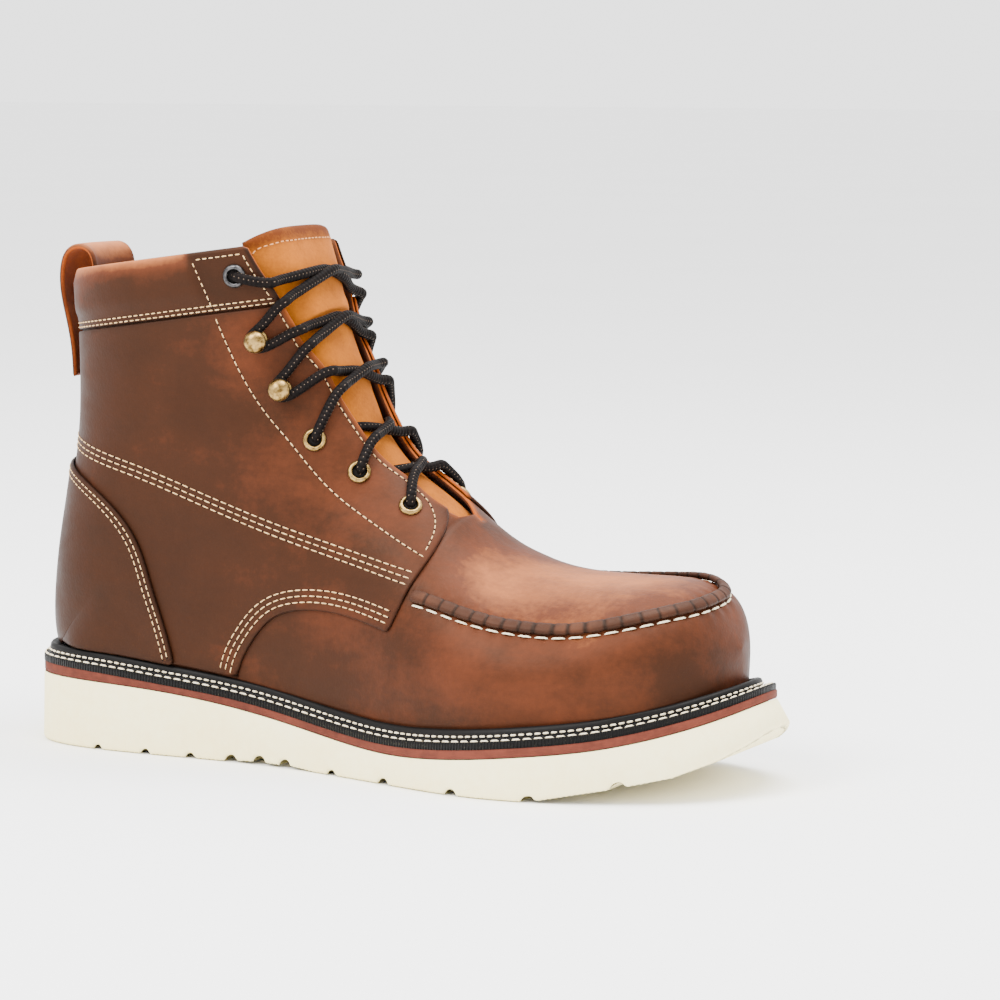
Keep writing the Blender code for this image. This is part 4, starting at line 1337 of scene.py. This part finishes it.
def make_insole():
    """Footbed inside the lower edge of the upper, dished and rounded at its rim."""
    rows = np.linspace(0.15, HEEL_ROW, 150)
    inner, outer = [], []
    for row in rows:
        for side, line in ((INNER, inner), (OUTER, outer)):
            points, _ = half_section(row, side, 40)
            line.append(points[-1])
    outer, inner = np.array(outer), np.array(inner)
    share = np.linspace(0, 1, 25)
    middle = (outer + inner) / 2
    half = np.maximum((inner - outer)[:, 1] / 2 - WALL - INSOLE_CLEAR, 0.2)
    x = np.clip(middle[:, 0], 14.0, 286.0)
    y = middle[:, 1][:, None] + half[:, None] * (2 * share - 1)[None]
    low = side_line("midsole", x) + SLIP
    dish = 1.1 * (2 * share - 1) ** 2
    top = low[:, None] + INSOLE - 1.0 + dish[None]
    layers = [np.stack(np.broadcast_arrays(x[:, None], y, z), 2).reshape(-1, 3) for z in (low[:, None], top)]
    count, columns = y.shape
    size = count * columns
    edge = np.concatenate([np.arange(columns), np.arange(1, count) * columns + columns - 1,
                           size - 1 - np.arange(1, columns), np.arange(count - 2, 0, -1) * columns])
    wall = np.stack([edge, np.roll(edge, -1)], 1)
    sides = np.vstack([np.stack([wall[:, 0], wall[:, 1], wall[:, 1] + size], 1),
                       np.stack([wall[:, 0], wall[:, 1] + size, wall[:, 0] + size], 1)])
    faces = np.vstack([grid_faces(count, columns, True), grid_faces(count, columns) + size, sides[:, ::-1]])
    points, faces, _ = weld(np.vstack(layers), faces)
    mesh_piece("footbed", points, faces, FOOTBED, ["insole"], "footbed", {"tone": np.full(len(points), 0.6)})


def upper_inset(place, normal, height):
    """How far in from the outline the upper stands, at a height."""
    start = Vector((*(place + normal * 4), height))
    hit = BASE_TREE.ray_cast(start, Vector((*(-normal), 0)))
    return hit[3] - 4 if hit[0] is not None else 12.0


def make_welt():
    """Storm welt: flat strip, groove and bead against the upper."""
    place, normal = OUTLINE_POINTS[::2], OUTLINE_NORMALS[::2]
    base = side_line("midsole", place[:, 0] - toe_flare(place[:, 0]) * normal[:, 0])
    width = lookup(WELT_WIDTHS, place[:, 0])
    rings = [(inset * width + toe_flare(place[:, 0]), lift) for inset, lift in WELT_PROFILE]
    for lift in (6.2, 4.0, 1.2, 0.3):
        inset = np.array([upper_inset(p, n, b + max(lift, 1.2)) for p, n, b in zip(place, normal, base)])
        rings.append((inset - SLIP, lift))
    wall = rings[len(WELT_PROFILE)][0]
    points = []
    for i, (inset, lift) in enumerate(rings):
        if i < len(WELT_PROFILE):
            inset = np.minimum(inset, wall - 0.2 * (len(WELT_PROFILE) - i))
        flat = place - normal * inset[:, None]
        points.append(np.stack([flat[:, 0], flat[:, 1], side_line("midsole", flat[:, 0]) + lift], 1))
        if lift <= SLIP:
            points[-1][:, 2] -= SLIP
    count = len(place)
    points.append(points[0])
    along = np.tile(chord_knots(place), len(points))
    edge = np.repeat(np.array([1.0] * 3 + [0.0] * (len(points) - 4) + [1.0]), count)
    faces = ring_faces(len(points), count)
    data, faces, _ = weld(np.column_stack([np.vstack(points), along, edge]), faces)
    mesh_piece("welt_rubber", data[:, :3], faces, BLACK, ["welt"], "black_welt",
               {"along": data[:, 3], "outer_edge": data[:, 4]})
    return points, normal


def make_tongue():
    """Tongue: a soft sheet with rounded edges and a few folds across."""
    columns = 28
    start = TONGUE_WIDTHS[0][0]
    every = np.linspace(start, TONGUE_TOP, 200)
    full = np.zeros((len(every), 2 * columns + 1, 3))
    for i, row in enumerate(every):
        half = lookup(TONGUE_WIDTHS, row)
        t = station(min(row, COLLAR_ROW))
        outer = along_curve(section_curve(t, OUTER), half, 0, columns + 1)[:-1]
        inner = along_curve(section_curve(t, INNER), 0, half, columns + 1)
        full[i] = np.vstack([outer, inner]) + (0, 0, max(row - COLLAR_ROW, 0) * TONGUE_RISE)
    shares = np.linspace(-1, 1, 2 * columns + 1)[None]
    tops = TONGUE_TOP - TONGUE_DOME * np.abs(shares) ** 3
    rows = start + (tops - start) * np.linspace(0, 1, 150)[:, None]
    grid = np.zeros(rows.shape + (3,))
    for k in range(rows.shape[1]):
        for axis in range(3):
            grid[:, k, axis] = np.interp(rows[:, k], every, full[:, k, axis])
    lean = lookup(TONGUE_SETBACK, rows) * (1 - (1 - TONGUE_SIDE_LEAN) * shares ** 2)
    points = grid.reshape(-1, 3)
    faces = grid_faces(len(rows), 2 * columns + 1)
    normal = vertex_normals(points, faces)
    from_top = length_to_end(grid)
    across = np.linalg.norm(np.diff(grid, axis=1), axis=2)
    run = np.hstack([np.zeros((len(rows), 1)), np.cumsum(across, axis=1)])
    from_side = np.minimum(run, run[:, -1:] - run)
    edge = np.minimum(from_top, from_side).ravel()
    folds = sum(height * np.exp(-((rows - row - slant * shares) / wide) ** 2)
                for row, slant, wide, height in TONGUE_FOLDS).ravel()
    middle = -WALL - TONGUE_CLEAR - TONGUE / 2
    half = TONGUE / 2 * np.clip(rounded(edge, 1.4), 0, 1)
    folds = np.minimum(folds, 0.5) * smoothstep(2, 12, edge)
    v = np.hstack([points, normal, np.zeros((len(points), 4)), np.minimum(edge, 5.0)[:, None]])
    v[:, -1] = np.where(edge < 1e-3, 0, v[:, -1])
    made, tri = shell(v, faces, middle + half + folds, middle - half + folds)
    made[:, 0] -= np.tile(lean.ravel(), 2)
    grid[..., 0] -= lean
    roll = np.exp(-(from_top.ravel() / 5.0) ** 4)
    # Tone: darker over the rolled top, painted shade along the sides where they run under the quarters, and
    # painted light and shade over the folds.
    tone = 0.75 - 0.75 * roll - 0.25 * np.exp(-from_side.ravel() / 2.0) + 0.12 * folds
    mesh_piece("tongue_nubuck", made, tri, NUBUCK, ["tongue"], "tan_nubuck", {"tone": np.tile(tone, 2)})
    height = (middle + half + folds).reshape(from_top.shape)
    return grid, normal.reshape(grid.shape), from_top, from_side, height


def make_pull_loop():
    """Strap from the outside of the back over to the inside."""
    path = even_path(smooth_path(LOOP_PATH, 400), 0.8)
    along = unit(np.gradient(path, axis=0))
    out = np.stack([-along[:, 1], along[:, 0]], 1)
    y = np.linspace(-LOOP_HALF, LOOP_HALF, 25)
    curl = y ** 2 / (2 * BACK_RADIUS)
    edge = LOOP_HALF - np.abs(y)
    ends = np.minimum(chord_knots(path), chord_knots(path)[::-1])
    half = LOOP_THICK / 2 * np.minimum(rounded(edge, 0.9)[None], rounded(ends, 0.9)[:, None])
    fold = np.exp(-((path[:, 1:] - 198) / 9) ** 2)
    # Tone: painted highlight over the top of the fold, and darker along the strap's edges.
    tone = 0.46 + 0.60 * fold - 0.20 * np.exp(-edge / 1.5)[None]
    layers = []
    for side in (1, -1):
        x = path[:, :1] + curl[None] + side * out[:, :1] * half
        z = path[:, 1:] + side * out[:, 1:] * half
        grid = np.stack(np.broadcast_arrays(x, y[None], z, tone), 2)
        layers.append((grid.reshape(-1, 4), grid_faces(*half.shape, side < 0)))
    data, faces, kept = weld(*joined(layers))
    raw = np.repeat([0, 1], len(kept) // 2)[kept]
    mesh_piece("pull_loop_leather", data[:, :3], faces, LEATHER, ["pull_loop"], "brown_leather",
               {"tone": data[:, 3], "rim": np.zeros(len(data))}, (RAW_LEATHER, raw))


make_upper()
make_panels()
make_collar_band()
make_moc_seam()
make_outsole()
make_midsole()
make_insole()
WELT_RINGS, WELT_NORMALS = make_welt()
TONGUE_GRID = make_tongue()
make_pull_loop()


# Stitches: closed little dashes along rows, with a dark lens of painted shade in the hole between them
SIDE_GAP = path_distance(FLAT, smooth_path(SIDE_STITCH, 60))
WING_GAP = path_distance(FLAT, smooth_path(WING_EDGE, 60))
COUNTER_EDGE_GAP = path_distance(FLAT, smooth_path(COUNTER_EDGE, 60))
COUNTER_EDGE_GAP *= np.sign(COUNTER_EDGE_GAP[COUNTER_GAP.argmax()])
FRONT_GAP = np.abs(path_distance(FLAT, smooth_path(QUARTER_FRONT, 60)))
EDGE_GAP = np.minimum(FRONT_GAP, BASE[:, THROAT_GAP])
BESIDE_BACKSTAY = ACROSS - BACKSTAY_HALF - 1.5
ON_QUARTER = np.minimum.reduce([QUARTER_GAP - 1.2, -COUNTER_GAP - 0.8, BESIDE_BACKSTAY])
QUARTER_TOP = SLIP + PANEL
BAND_TOP = SLIP + COLLAR_FLAT
COUNTER_TOP = SECOND_LAYER + PANEL
FROM_TOP, FROM_SIDE = 4.6, 4.0    # stitches to the edges of the tongue


def level_lines(values, level, keep):
    """Chains of places and normals along a level of a distance, cut where another is negative."""
    f = np.where(np.abs(values - level) < 1e-6, 1e-6, values - level)
    over = f > 0
    tri = BASE_TRI[over[BASE_TRI].any(1) & ~over[BASE_TRI].all(1)]
    edges = edges_of(tri)
    edges = edges[over[edges[:, 0]] != over[edges[:, 1]]]
    keys, back = np.unique(edges, axis=0, return_inverse=True)
    a, b = keys.T
    share = (f[a] / (f[a] - f[b]))[:, None]
    fields = np.hstack([BASE[:, POS], BASE[:, NRM], keep[:, None]])
    places = fields[a] + (fields[b] - fields[a]) * share
    links = {}
    for one, other in back.reshape(-1, 2):
        links.setdefault(one, []).append(other)
        links.setdefault(other, []).append(one)
    ends = [k for k, near in links.items() if len(near) == 1]
    seen, chains = set(), []
    for first in ends + list(links):
        chain, here = [], first
        while here is not None and here not in seen:
            seen.add(here)
            chain.append(here)
            here = next((k for k in links[here] if k not in seen), None)
        good = places[chain, -1] > 0 if chain else np.zeros(0, bool)
        for run in np.split(np.arange(len(chain)), np.flatnonzero(np.diff(good)) + 1):
            if len(run) > 3 and good[run[0]]:
                chains.append(places[[chain[k] for k in run]][:, :6])
    return chains


def calm(values, reach):
    """Rows of values smoothed along their order, with the ends kept."""
    weights = np.exp(-np.linspace(-2, 2, 2 * reach + 1) ** 2)
    weights /= weights.sum()
    before = 2 * values[0] - values[reach:0:-1]
    after = 2 * values[-1] - values[-2:-reach - 2:-1]
    return convolved(np.vstack([before, values, after]), weights)


class Sewing:
    """Stitches of one thread, joined in one mesh."""

    SHARES = np.array([0.0, 0.2, 0.8, 1.0])
    WIDTHS = np.array([0.4, 1.0, 1.0, 0.4])
    LIFTS = np.array([-0.6, 0.3, 0.3, -0.6])
    AROUND = 6

    def __init__(self):
        self.stitches, self.pricks = [], []

    def row(self, path, normals, pitch, length, radius, prick=True):
        """Dashes along a path."""
        run = chord_knots(path)
        number = int((run[-1] - length) // pitch) + 1
        if run[-1] < length or number < 1:
            return
        first = (run[-1] - (number - 1) * pitch - length) / 2
        starts = first + pitch * np.arange(number)
        angle = turn(self.AROUND)
        at = starts[:, None] + self.SHARES * length
        place, up, across, _ = self.frame(path, normals, run, at)
        size = radius * self.WIDTHS[None, :, None, None]
        ring = across[:, :, None] * np.cos(angle)[:, None] + 0.8 * up[:, :, None] * np.sin(angle)[:, None]
        points = place[:, :, None] + up[:, :, None] * (radius * self.LIFTS)[None, :, None, None] + ring * size
        last = (len(self.SHARES) - 1) * self.AROUND
        caps = [(0, k + 1, k) for k in range(1, self.AROUND - 1)]
        caps += [(last, last + k, last + k + 1) for k in range(1, self.AROUND - 1)]
        faces = np.vstack([ring_faces(len(self.SHARES), self.AROUND), caps])
        self.stitches.append(copies(points.reshape(number, -1, 3), faces))
        if prick:
            self.prick_row(path, normals, run, starts - (pitch - length) / 2, radius)

    def frame(self, path, normals, run, at):
        """Places on a path with their up, across and along directions."""
        along = columns_at(path, run, at + 0.3) - columns_at(path, run, at - 0.3)
        along /= np.linalg.norm(along, axis=-1, keepdims=True) + 1e-9
        up = columns_at(normals, run, at)
        across = np.cross(along, up)
        across /= np.linalg.norm(across, axis=-1, keepdims=True) + 1e-9
        return columns_at(path, run, at), np.cross(across, along), across, along

    def prick_row(self, path, normals, run, at, radius):
        """Small dark lenses of painted shade in the holes where the thread goes into the leather."""
        at = at[(at > 0) & (at < run[-1])]
        place, up, across, along = self.frame(path, normals, run, at)
        angle = turn(self.AROUND)
        ring = across[:, None] * np.cos(angle)[:, None] + along[:, None] * np.sin(angle)[:, None]
        ring = place[:, None] + ring * radius * 1.35
        tips = np.stack([place + up * 0.08, place - up * 0.08], axis=1)
        faces = np.vstack([fan(0, self.AROUND, self.AROUND, True), fan(0, self.AROUND, self.AROUND + 1)])
        self.pricks.append(copies(np.concatenate([ring, tips], axis=1), faces))

    def finish(self, name, stock):
        """The stitches as a piece, and their pricks as another."""
        mesh_piece(name, *joined(self.stitches), stock)
        if self.pricks:
            mesh_piece(name + "_pricks", *joined(self.pricks), PRICK_SHADE)


def leather_rows():
    """Rows on the quarters, counters and collar band."""
    block = np.minimum.reduce([OVER_SEAM - 0.8, BASE[:, COLLAR_GAP] - 2.4, BASE[:, THROAT_GAP] - 2.6])
    around_band = np.minimum.reduce([BASE[:, THROAT_GAP] - 1.2, BASE[:, COLLAR_GAP] - 4])
    on_counter = np.minimum(COUNTER_GAP - 0.9, BESIDE_BACKSTAY)
    low_wing = np.minimum(ON_QUARTER, BASE[:, 0] - 78)
    # Distance that the row follows, its level there, where it is kept, height, pitch and length of a stitch
    rows = [(SIDE_GAP, level, ON_QUARTER, QUARTER_TOP, 3.5, 2.7) for level in (-2.2, 0.0, 2.2)]
    rows += [(WING_GAP, level, low_wing, QUARTER_TOP, 3.3, 2.6) for level in (-3.2, -5.5, -7.8)]
    rows += [(COUNTER_EDGE_GAP, level, on_counter, COUNTER_TOP, 2.7, 2.0) for level in (1.8, 4.0)]
    rows += [(OVER_SEAM, level, around_band, BAND_TOP, 2.7, 2.0) for level in (1.0, 2.7)]
    rows += [
        (EYESTAY_GAP, 0.0, ON_QUARTER, QUARTER_TOP, 2.9, 2.1),
        (EYESTAY_GAP, 0.0, block, BAND_TOP + 0.1, 2.7, 1.9),
        (EDGE_GAP, 2.8, np.minimum(EYESTAY_GAP - 0.5, QUARTER_GAP - 1.0), QUARTER_TOP, 2.7, 1.9),
        (BASE[:, COLLAR_GAP], 2.8, np.minimum(EYESTAY_GAP - 0.4, BASE[:, THROAT_GAP] - 2.6),
         BAND_TOP, 2.7, 1.9),
        (BASE[:, THROAT_GAP], 2.8, np.minimum.reduce([OVER_SEAM - 3.2, EYESTAY_GAP, BASE[:, COLLAR_GAP] - 3]),
         BAND_TOP, 2.7, 1.9),
    ]
    sewing = Sewing()
    for values, level, keep, height, pitch, length in rows:
        for chain in level_lines(values, level, keep):
            run = chord_knots(chain[:, :3])
            at = np.linspace(0, run[-1], max(int(run[-1] / 0.8), 12))
            chain = calm(columns_at(chain, run, at), 4)
            path = chain[:, :3] + chain[:, 3:] * (height + relief(chain[:, :3]) + 0.10)[:, None]
            sewing.row(path, chain[:, 3:], pitch, length, 0.25)
    sewing.finish("leather_stitches", THREAD)


def seam_and_welt_rows():
    """Long dashes beside the raised seam, and two rows on the welt."""
    sewing = Sewing()
    out = unit(np.cross(np.gradient(SEAM_PLACE, axis=0), SEAM_NORMAL))
    beside = SEAM_PLACE + out * 3.3
    hits = [BASE_TREE.find_nearest(Vector(p)) for p in beside]
    normals = np.array([hit[1] for hit in hits])
    path = np.array([hit[0] for hit in hits]) + normals * 0.30
    sewing.row(calm(path, 6), calm(normals, 6), PLEAT, 5.2, 0.42, prick=False)
    for ring, share, slope, pitch, length in ((6, 0.45, 0.1, 3.1, 2.3), (3, 0.3, 1.6, 4.2, 3.4)):
        path = WELT_RINGS[ring] * (1 - share) + WELT_RINGS[ring + 1] * share
        normals = unit(np.column_stack([WELT_NORMALS, np.full(len(path), slope)]))
        sewing.row(path + 0.12 * normals, normals, pitch, length, 0.40, prick=False)
    sewing.finish("white_stitches", WHITE_THREAD)


def tongue_rows():
    """One row inside the edge of the tongue."""
    grid, normal, from_top, from_side, height = TONGUE_GRID
    surface = grid + normal * (height + 0.05)[..., None]
    row_at = np.abs(from_top - FROM_TOP).argmin(0)
    top = [(row_at[k], k) for k in range(grid.shape[1]) if from_side[row_at[k], k] > FROM_SIDE]
    first_row, first_column = top[0]
    rise = [(i, np.abs(from_side[i, :first_column + 8] - FROM_SIDE).argmin()) for i in range(70, first_row)]
    fall = [(i, grid.shape[1] - 1 - k) for i, k in reversed(rise)]
    path = np.array([surface[i, k] for i, k in rise + top + fall])
    normals = np.array([normal[i, k] for i, k in rise + top + fall])
    sewing = Sewing()
    sewing.row(calm(path, 5), calm(normals, 5), 2.6, 1.9, 0.26)
    sewing.finish("tongue_stitches", TAN_THREAD)


# Eyelets, hooks and the lace
def eye_places():
    """Seats of the eyelets and hooks on each side: place on the leather, normal and section row."""
    seats = {}
    for side in (OUTER, INNER):
        for k, (x, z, _) in enumerate(EYES):
            hit, _, face, _ = BASE_TREE.ray_cast(Vector((x, side * 200, z)), Vector((0, -side, 0)))
            normal = unit(BASE[BASE_TRI[face], NRM].mean(0))
            top = BAND_TOP if z > collar_line(x)[1] else QUARTER_TOP
            seats[side, k] = np.array(hit) + normal * top, normal, BASE[BASE_TRI[face], ROW].mean()
    return seats


SEATS = eye_places()
EYELET = [
    # radius, height over the leather
    (2.6, -0.4), (2.6, 0.7), (2.75, 1.2), (3.2, 1.55), (3.7, 1.5), (4.2, 1.1), (4.5, 0.5), (4.5, 0.1),
    (3.0, 0.0), (2.9, -0.4),
]
# Disc of painted shade across the mouth of each eyelet: radius, height over the leather
PLUG = [(0.0, 0.05), (2.62, 0.05), (2.62, 0.35), (0.0, 0.35)]
HOOK_FOOT = [(0.0, 0.1), (4.0, 0.1), (4.0, 1.0), (3.7, 1.35), (2.1, 1.5), (1.5, 1.9), (1.5, 3.4), (2.1, 3.9)]
BALL_MIDDLE, BALL_WIDE, BALL_TALL = 6.6, 4.3, 3.2
HOOK_LIFT, HOOK_TURN = 3.3, 3.6     # height and radius of the lace around a hook's neck
HOOK_ROUND = [(-1, 0.5), (-1, 0), (-0.71, -0.71), (0, -1), (0.71, -0.71), (1, 0), (1, 0.5)]
LACE_STEP = 0.5
LEAVES, LANDS = 0.30, 0.72          # shares of a crossing where a strand meets the edges of the throat
OVER, UNDER = 3.4, -0.3             # rise of the two strands where they cross


def turned(profile, place, normal, sides, closed=False):
    """Surface of a profile (radius, height) turned around a normal."""
    across = unit(np.cross(normal, (0.0, 0.0, 1.0)))
    up = np.cross(normal, across)
    angle = turn(sides)
    ring = across * np.cos(angle)[:, None] + up * np.sin(angle)[:, None]
    rings = [place + ring * radius + normal * height for radius, height in profile]
    if closed:
        rings.append(rings[0])
    return weld(np.vstack(rings), ring_faces(len(rings), sides))[:2]


def make_fittings():
    """Eyelets with near-black discs of painted shade in their holes, and hooks with round heads."""
    bow = np.linspace(np.pi - np.arcsin(HOOK_FOOT[-1][0] / BALL_WIDE), 0, 18)
    hook = HOOK_FOOT + [(BALL_WIDE * np.sin(a), BALL_MIDDLE + BALL_TALL * np.cos(a)) for a in bow[1:]]
    brass, dark, holes, hooks = [], [], [], []
    names = {"brass": [], "dark": [], "hooks": []}
    for (side, k), (place, normal, _) in SEATS.items():
        kind = EYES[k][2]
        node = f"{kind}_{'inner' if side == INNER else 'outer'}_{k + 1}"
        if kind == "hook":
            hooks.append(turned(hook, place, normal, 32))
            names["hooks"].append(node)
            continue
        top = k == len(EYES) - 1
        (dark if top else brass).append(turned(EYELET, place, normal, 36, closed=True))
        names["dark" if top else "brass"].append(node)
        holes.append(turned(PLUG, place, normal, 24))
    mesh_piece("brass_eyelets", *joined(brass), BRASS, names["brass"], "antique_brass")
    mesh_piece("top_eyelets", *joined(dark), DARK_METAL, names["dark"], "dark_metal")
    mesh_piece("lace_hooks", *joined(hooks), BRASS, names["hooks"], "antique_brass")
    mesh_piece("eyelet_holes", *joined(holes), HOLE_SHADE)


def throat_edge(row, side):
    """Point of the throat's edge at a section row."""
    return half_section(row, side, 4)[0][0]


def crown(row):
    """Crown of the tongue's face and its normal at a section row."""
    grid, normal, _, _, height = TONGUE_GRID
    rows = np.linspace(TONGUE_WIDTHS[0][0], TONGUE_TOP, grid.shape[0])
    i = np.abs(rows - row).argmin()
    k = grid.shape[1] // 2
    return grid[i, k] + normal[i, k] * height[i, k], normal[i, k]


def across_normal(vector, normal):
    """The part of a vector square to a normal."""
    return vector - normal * (vector @ normal)


def lace_route(start):
    """One lace from its lowest eyelet to the top one on the other side.

    Rows of place, surface normal, thickness share, and whether it lies free over the leather there.
    """
    route = []

    def go(point, normal, thick, free):
        route.append((*point, *normal, thick, free))

    for k in range(len(EYES) - 1):
        side = start * (-1) ** k
        place, normal, row = SEATS[side, k]
        far, far_normal, far_row = SEATS[-side, k + 1]
        near_row = row + LEAVES * (far_row - row)
        edge_row = row + LANDS * (far_row - row)
        near = throat_edge(near_row, side) + normal * (QUARTER_TOP + LACE_RADIUS)
        far_edge = throat_edge(edge_row, -side)
        middle, face = crown((near_row + edge_row) / 2)
        chord = (near + far_edge + far_normal * QUARTER_TOP) / 2
        rise = max((chord - middle) @ face, LACE_RADIUS + 0.2)
        middle = middle + face * (rise + (OVER if side == OUTER else UNDER))
        if EYES[k][2] == "eyelet":
            if k == 0:
                go(place - normal * 3.0, normal, 0.9, 0)
            go(place + normal * 1.4, normal, 0.95, 0)
            towards = across_normal(near - place, normal)
            go(place + towards * 0.45 + normal * (LACE_RADIUS + 0.5), normal, 1.0, 1)
        go(near, normal, 1.0, 1)
        go(middle, face, 1.0, 1)
        if k + 1 == len(EYES) - 1:
            edge = far_edge + far_normal * (QUARTER_TOP + LACE_RADIUS)
            go(edge, far_normal, 1.0, 1)
            back = across_normal(edge - far, far_normal)
            go(far + back * 0.5 + far_normal * (LACE_RADIUS + 0.6), far_normal, 1.0, 1)
            go(far + far_normal * 1.8, far_normal, 0.95, 0)
            go(far - far_normal * 1.6, far_normal, 0.9, 0)
        elif EYES[k + 1][2] == "eyelet":
            under = far_normal * (-WALL - 0.95)
            go(far_edge + under * 0.8 + (middle - far_edge) * 0.22, far_normal, 0.75, 0)
            go(far_edge + under, far_normal, 0.42, 0)
            go(far - far_normal * (QUARTER_TOP + WALL + 0.95), far_normal, 0.42, 0)
        else:
            edge = far_edge + far_normal * (QUARTER_TOP + LACE_RADIUS)
            go(edge, far_normal, 1.0, 1)
            inward = unit(across_normal(edge - far, far_normal))
            up = np.cross(far_normal, inward)
            up *= np.sign(up[2])
            for turn_up, turn_in in HOOK_ROUND:
                spot = far + far_normal * HOOK_LIFT + (up * turn_up + inward * turn_in) * HOOK_TURN
                go(spot, far_normal, 0.82, 0)
    return np.array(route)


def settle(path, thick, free, tongue):
    """Lift the free lengths of a lace clear of the leather and the tongue."""
    for i in np.flatnonzero(free > 0.6):
        radius = LACE_RADIUS * thick[i]
        for tree, top, deep in ((BASE_TREE, QUARTER_TOP, 0.0), (tongue, 0.0, -3.0)):
            spot, normal, _, gap = tree.find_nearest(Vector(path[i]))
            height = (path[i] - np.array(spot)) @ np.array(normal)
            lack = top + radius + 0.15 - height
            if lack > 0 and height > deep and abs(height) > 0.7 * gap:
                path[i] += np.array(normal) * lack
    return path


def lace_up(along, hints):
    """Directions across a cord, carried along it and drawn to the surface normals."""
    ups = np.zeros_like(along)
    up = hints[0] + 0.3 * hints[-1]
    for i, (ahead, hint) in enumerate(zip(along, hints)):
        target = across_normal(hint, ahead)
        if np.linalg.norm(target) > 0.5:
            up = up + 0.15 * (1 if up @ target >= 0 else -1) * target
        up = unit(across_normal(up, ahead))
        ups[i] = up
    return ups


def make_lace():
    """Two runs of the lace from the lowest eyelets to the top ones."""
    grid, normal, _, _, height = TONGUE_GRID
    face = (grid + normal * height[..., None]).reshape(-1, 3)
    tongue = BVHTree.FromPolygons(face.tolist(), grid_faces(*grid.shape[:2]).tolist())
    angle = turn(14)
    parts, fields = [], {"along": [], "around": []}
    for start in (OUTER, INNER):
        route = lace_route(start)
        run = chord_knots(route[:, :3])
        at = np.linspace(0, run[-1], int(run[-1] / LACE_STEP))
        values = calm(columns_at(route, run, at), 7)
        path, hints, thick, free = values[:, :3], values[:, 3:6], values[:, 6], values[:, 7]
        for _ in range(6):
            path = calm(settle(path, thick, free, tongue), 6)
        along = unit(np.gradient(path, axis=0))
        wide = LACE_RADIUS * np.minimum(1.0, 0.72 + 0.28 * thick)
        tall = LACE_RADIUS * thick
        profile = np.stack([np.cos(angle)[None] * wide[:, None], np.sin(angle)[None] * tall[:, None]], axis=2)
        parts.append(tube_mesh(path, lace_up(along, hints), profile))
        length = chord_knots(path)
        fields["along"].append(np.append(np.repeat(length, len(angle)), [0, length[-1]]))
        fields["around"].append(np.append(np.tile(angle / (2 * np.pi), len(path)), [0, 0]))
    nodes = [f"lace_crossing_{k + 1}" for k in range(len(EYES) - 1)]
    fields = {key: np.concatenate(value) for key, value in fields.items()}
    mesh_piece("lace", *joined(parts), LACE, nodes, "lace_cord", fields)


leather_rows()
seam_and_welt_rows()
tongue_rows()
make_fittings()
make_lace()


# Stage: pale floor, soft light and the camera at the photograph's angle
FLOOR_REACH = 14.0
WORLD_LIGHT = 2.6
LAMPS = [
    # name, place, aim, size, power
    ("key", (-0.5, -1.2, 1.5), (0, 0, 0.08), 0.9, 48),
    ("top", (0.3, 0.1, 1.6), (0.05, 0, 0.05), 1.1, 56),
]
CAMERA_PLACE = (856.6, -1283.2, 272.8)    # boot millimetres
CAMERA_DOWN, CAMERA_TURN = 6.74, 27.27    # degrees
CAMERA_LENS, CAMERA_SENSOR = 138.8, 36.0


def make_floor():
    stock = Stock("floor", grey(0.88), 0.9)
    tone = stock.ramp(stock.noise(3.0), (0.3, grey(0.93)), (0.7, grey(0.95)))
    stock.put(stock.shader, {"Base Color": tone})
    mesh = bpy.data.meshes.new("floor")
    corners = [(FLOOR_REACH * x, FLOOR_REACH * y, 0) for x, y in ((-1, -1), (1, -1), (1, 1), (-1, 1))]
    mesh.from_pydata(corners, [], [(0, 1, 2, 3)])
    mesh.materials.append(stock.material)
    floor = link("floor", mesh)


def make_light():
    world = bpy.data.worlds.new("studio")
    world.use_nodes = True
    background = world.node_tree.nodes["Background"]
    background.inputs["Color"].default_value = grey(1.0)
    background.inputs["Strength"].default_value = WORLD_LIGHT
    bpy.context.scene.world = world
    for name, place, aim, size, power in LAMPS:
        light = bpy.data.lights.new(name, 'AREA')
        light.energy = power
        light.size = size
        lamp = link(name, light)
        lamp.location = place
        lamp.rotation_euler = (Vector(aim) - Vector(place)).to_track_quat('-Z', 'Y').to_euler()


def make_camera():
    camera = bpy.data.cameras.new("camera")
    camera.sensor_width = CAMERA_SENSOR
    camera.sensor_fit = 'HORIZONTAL'
    camera.lens = CAMERA_LENS
    view = link("camera", camera)
    view.location = row_frame(CAMERA_PLACE)
    view.rotation_euler = (math.radians(90 - CAMERA_DOWN), 0, math.radians(CAMERA_TURN))
    bpy.context.scene.camera = view


make_floor()
make_light()
make_camera()
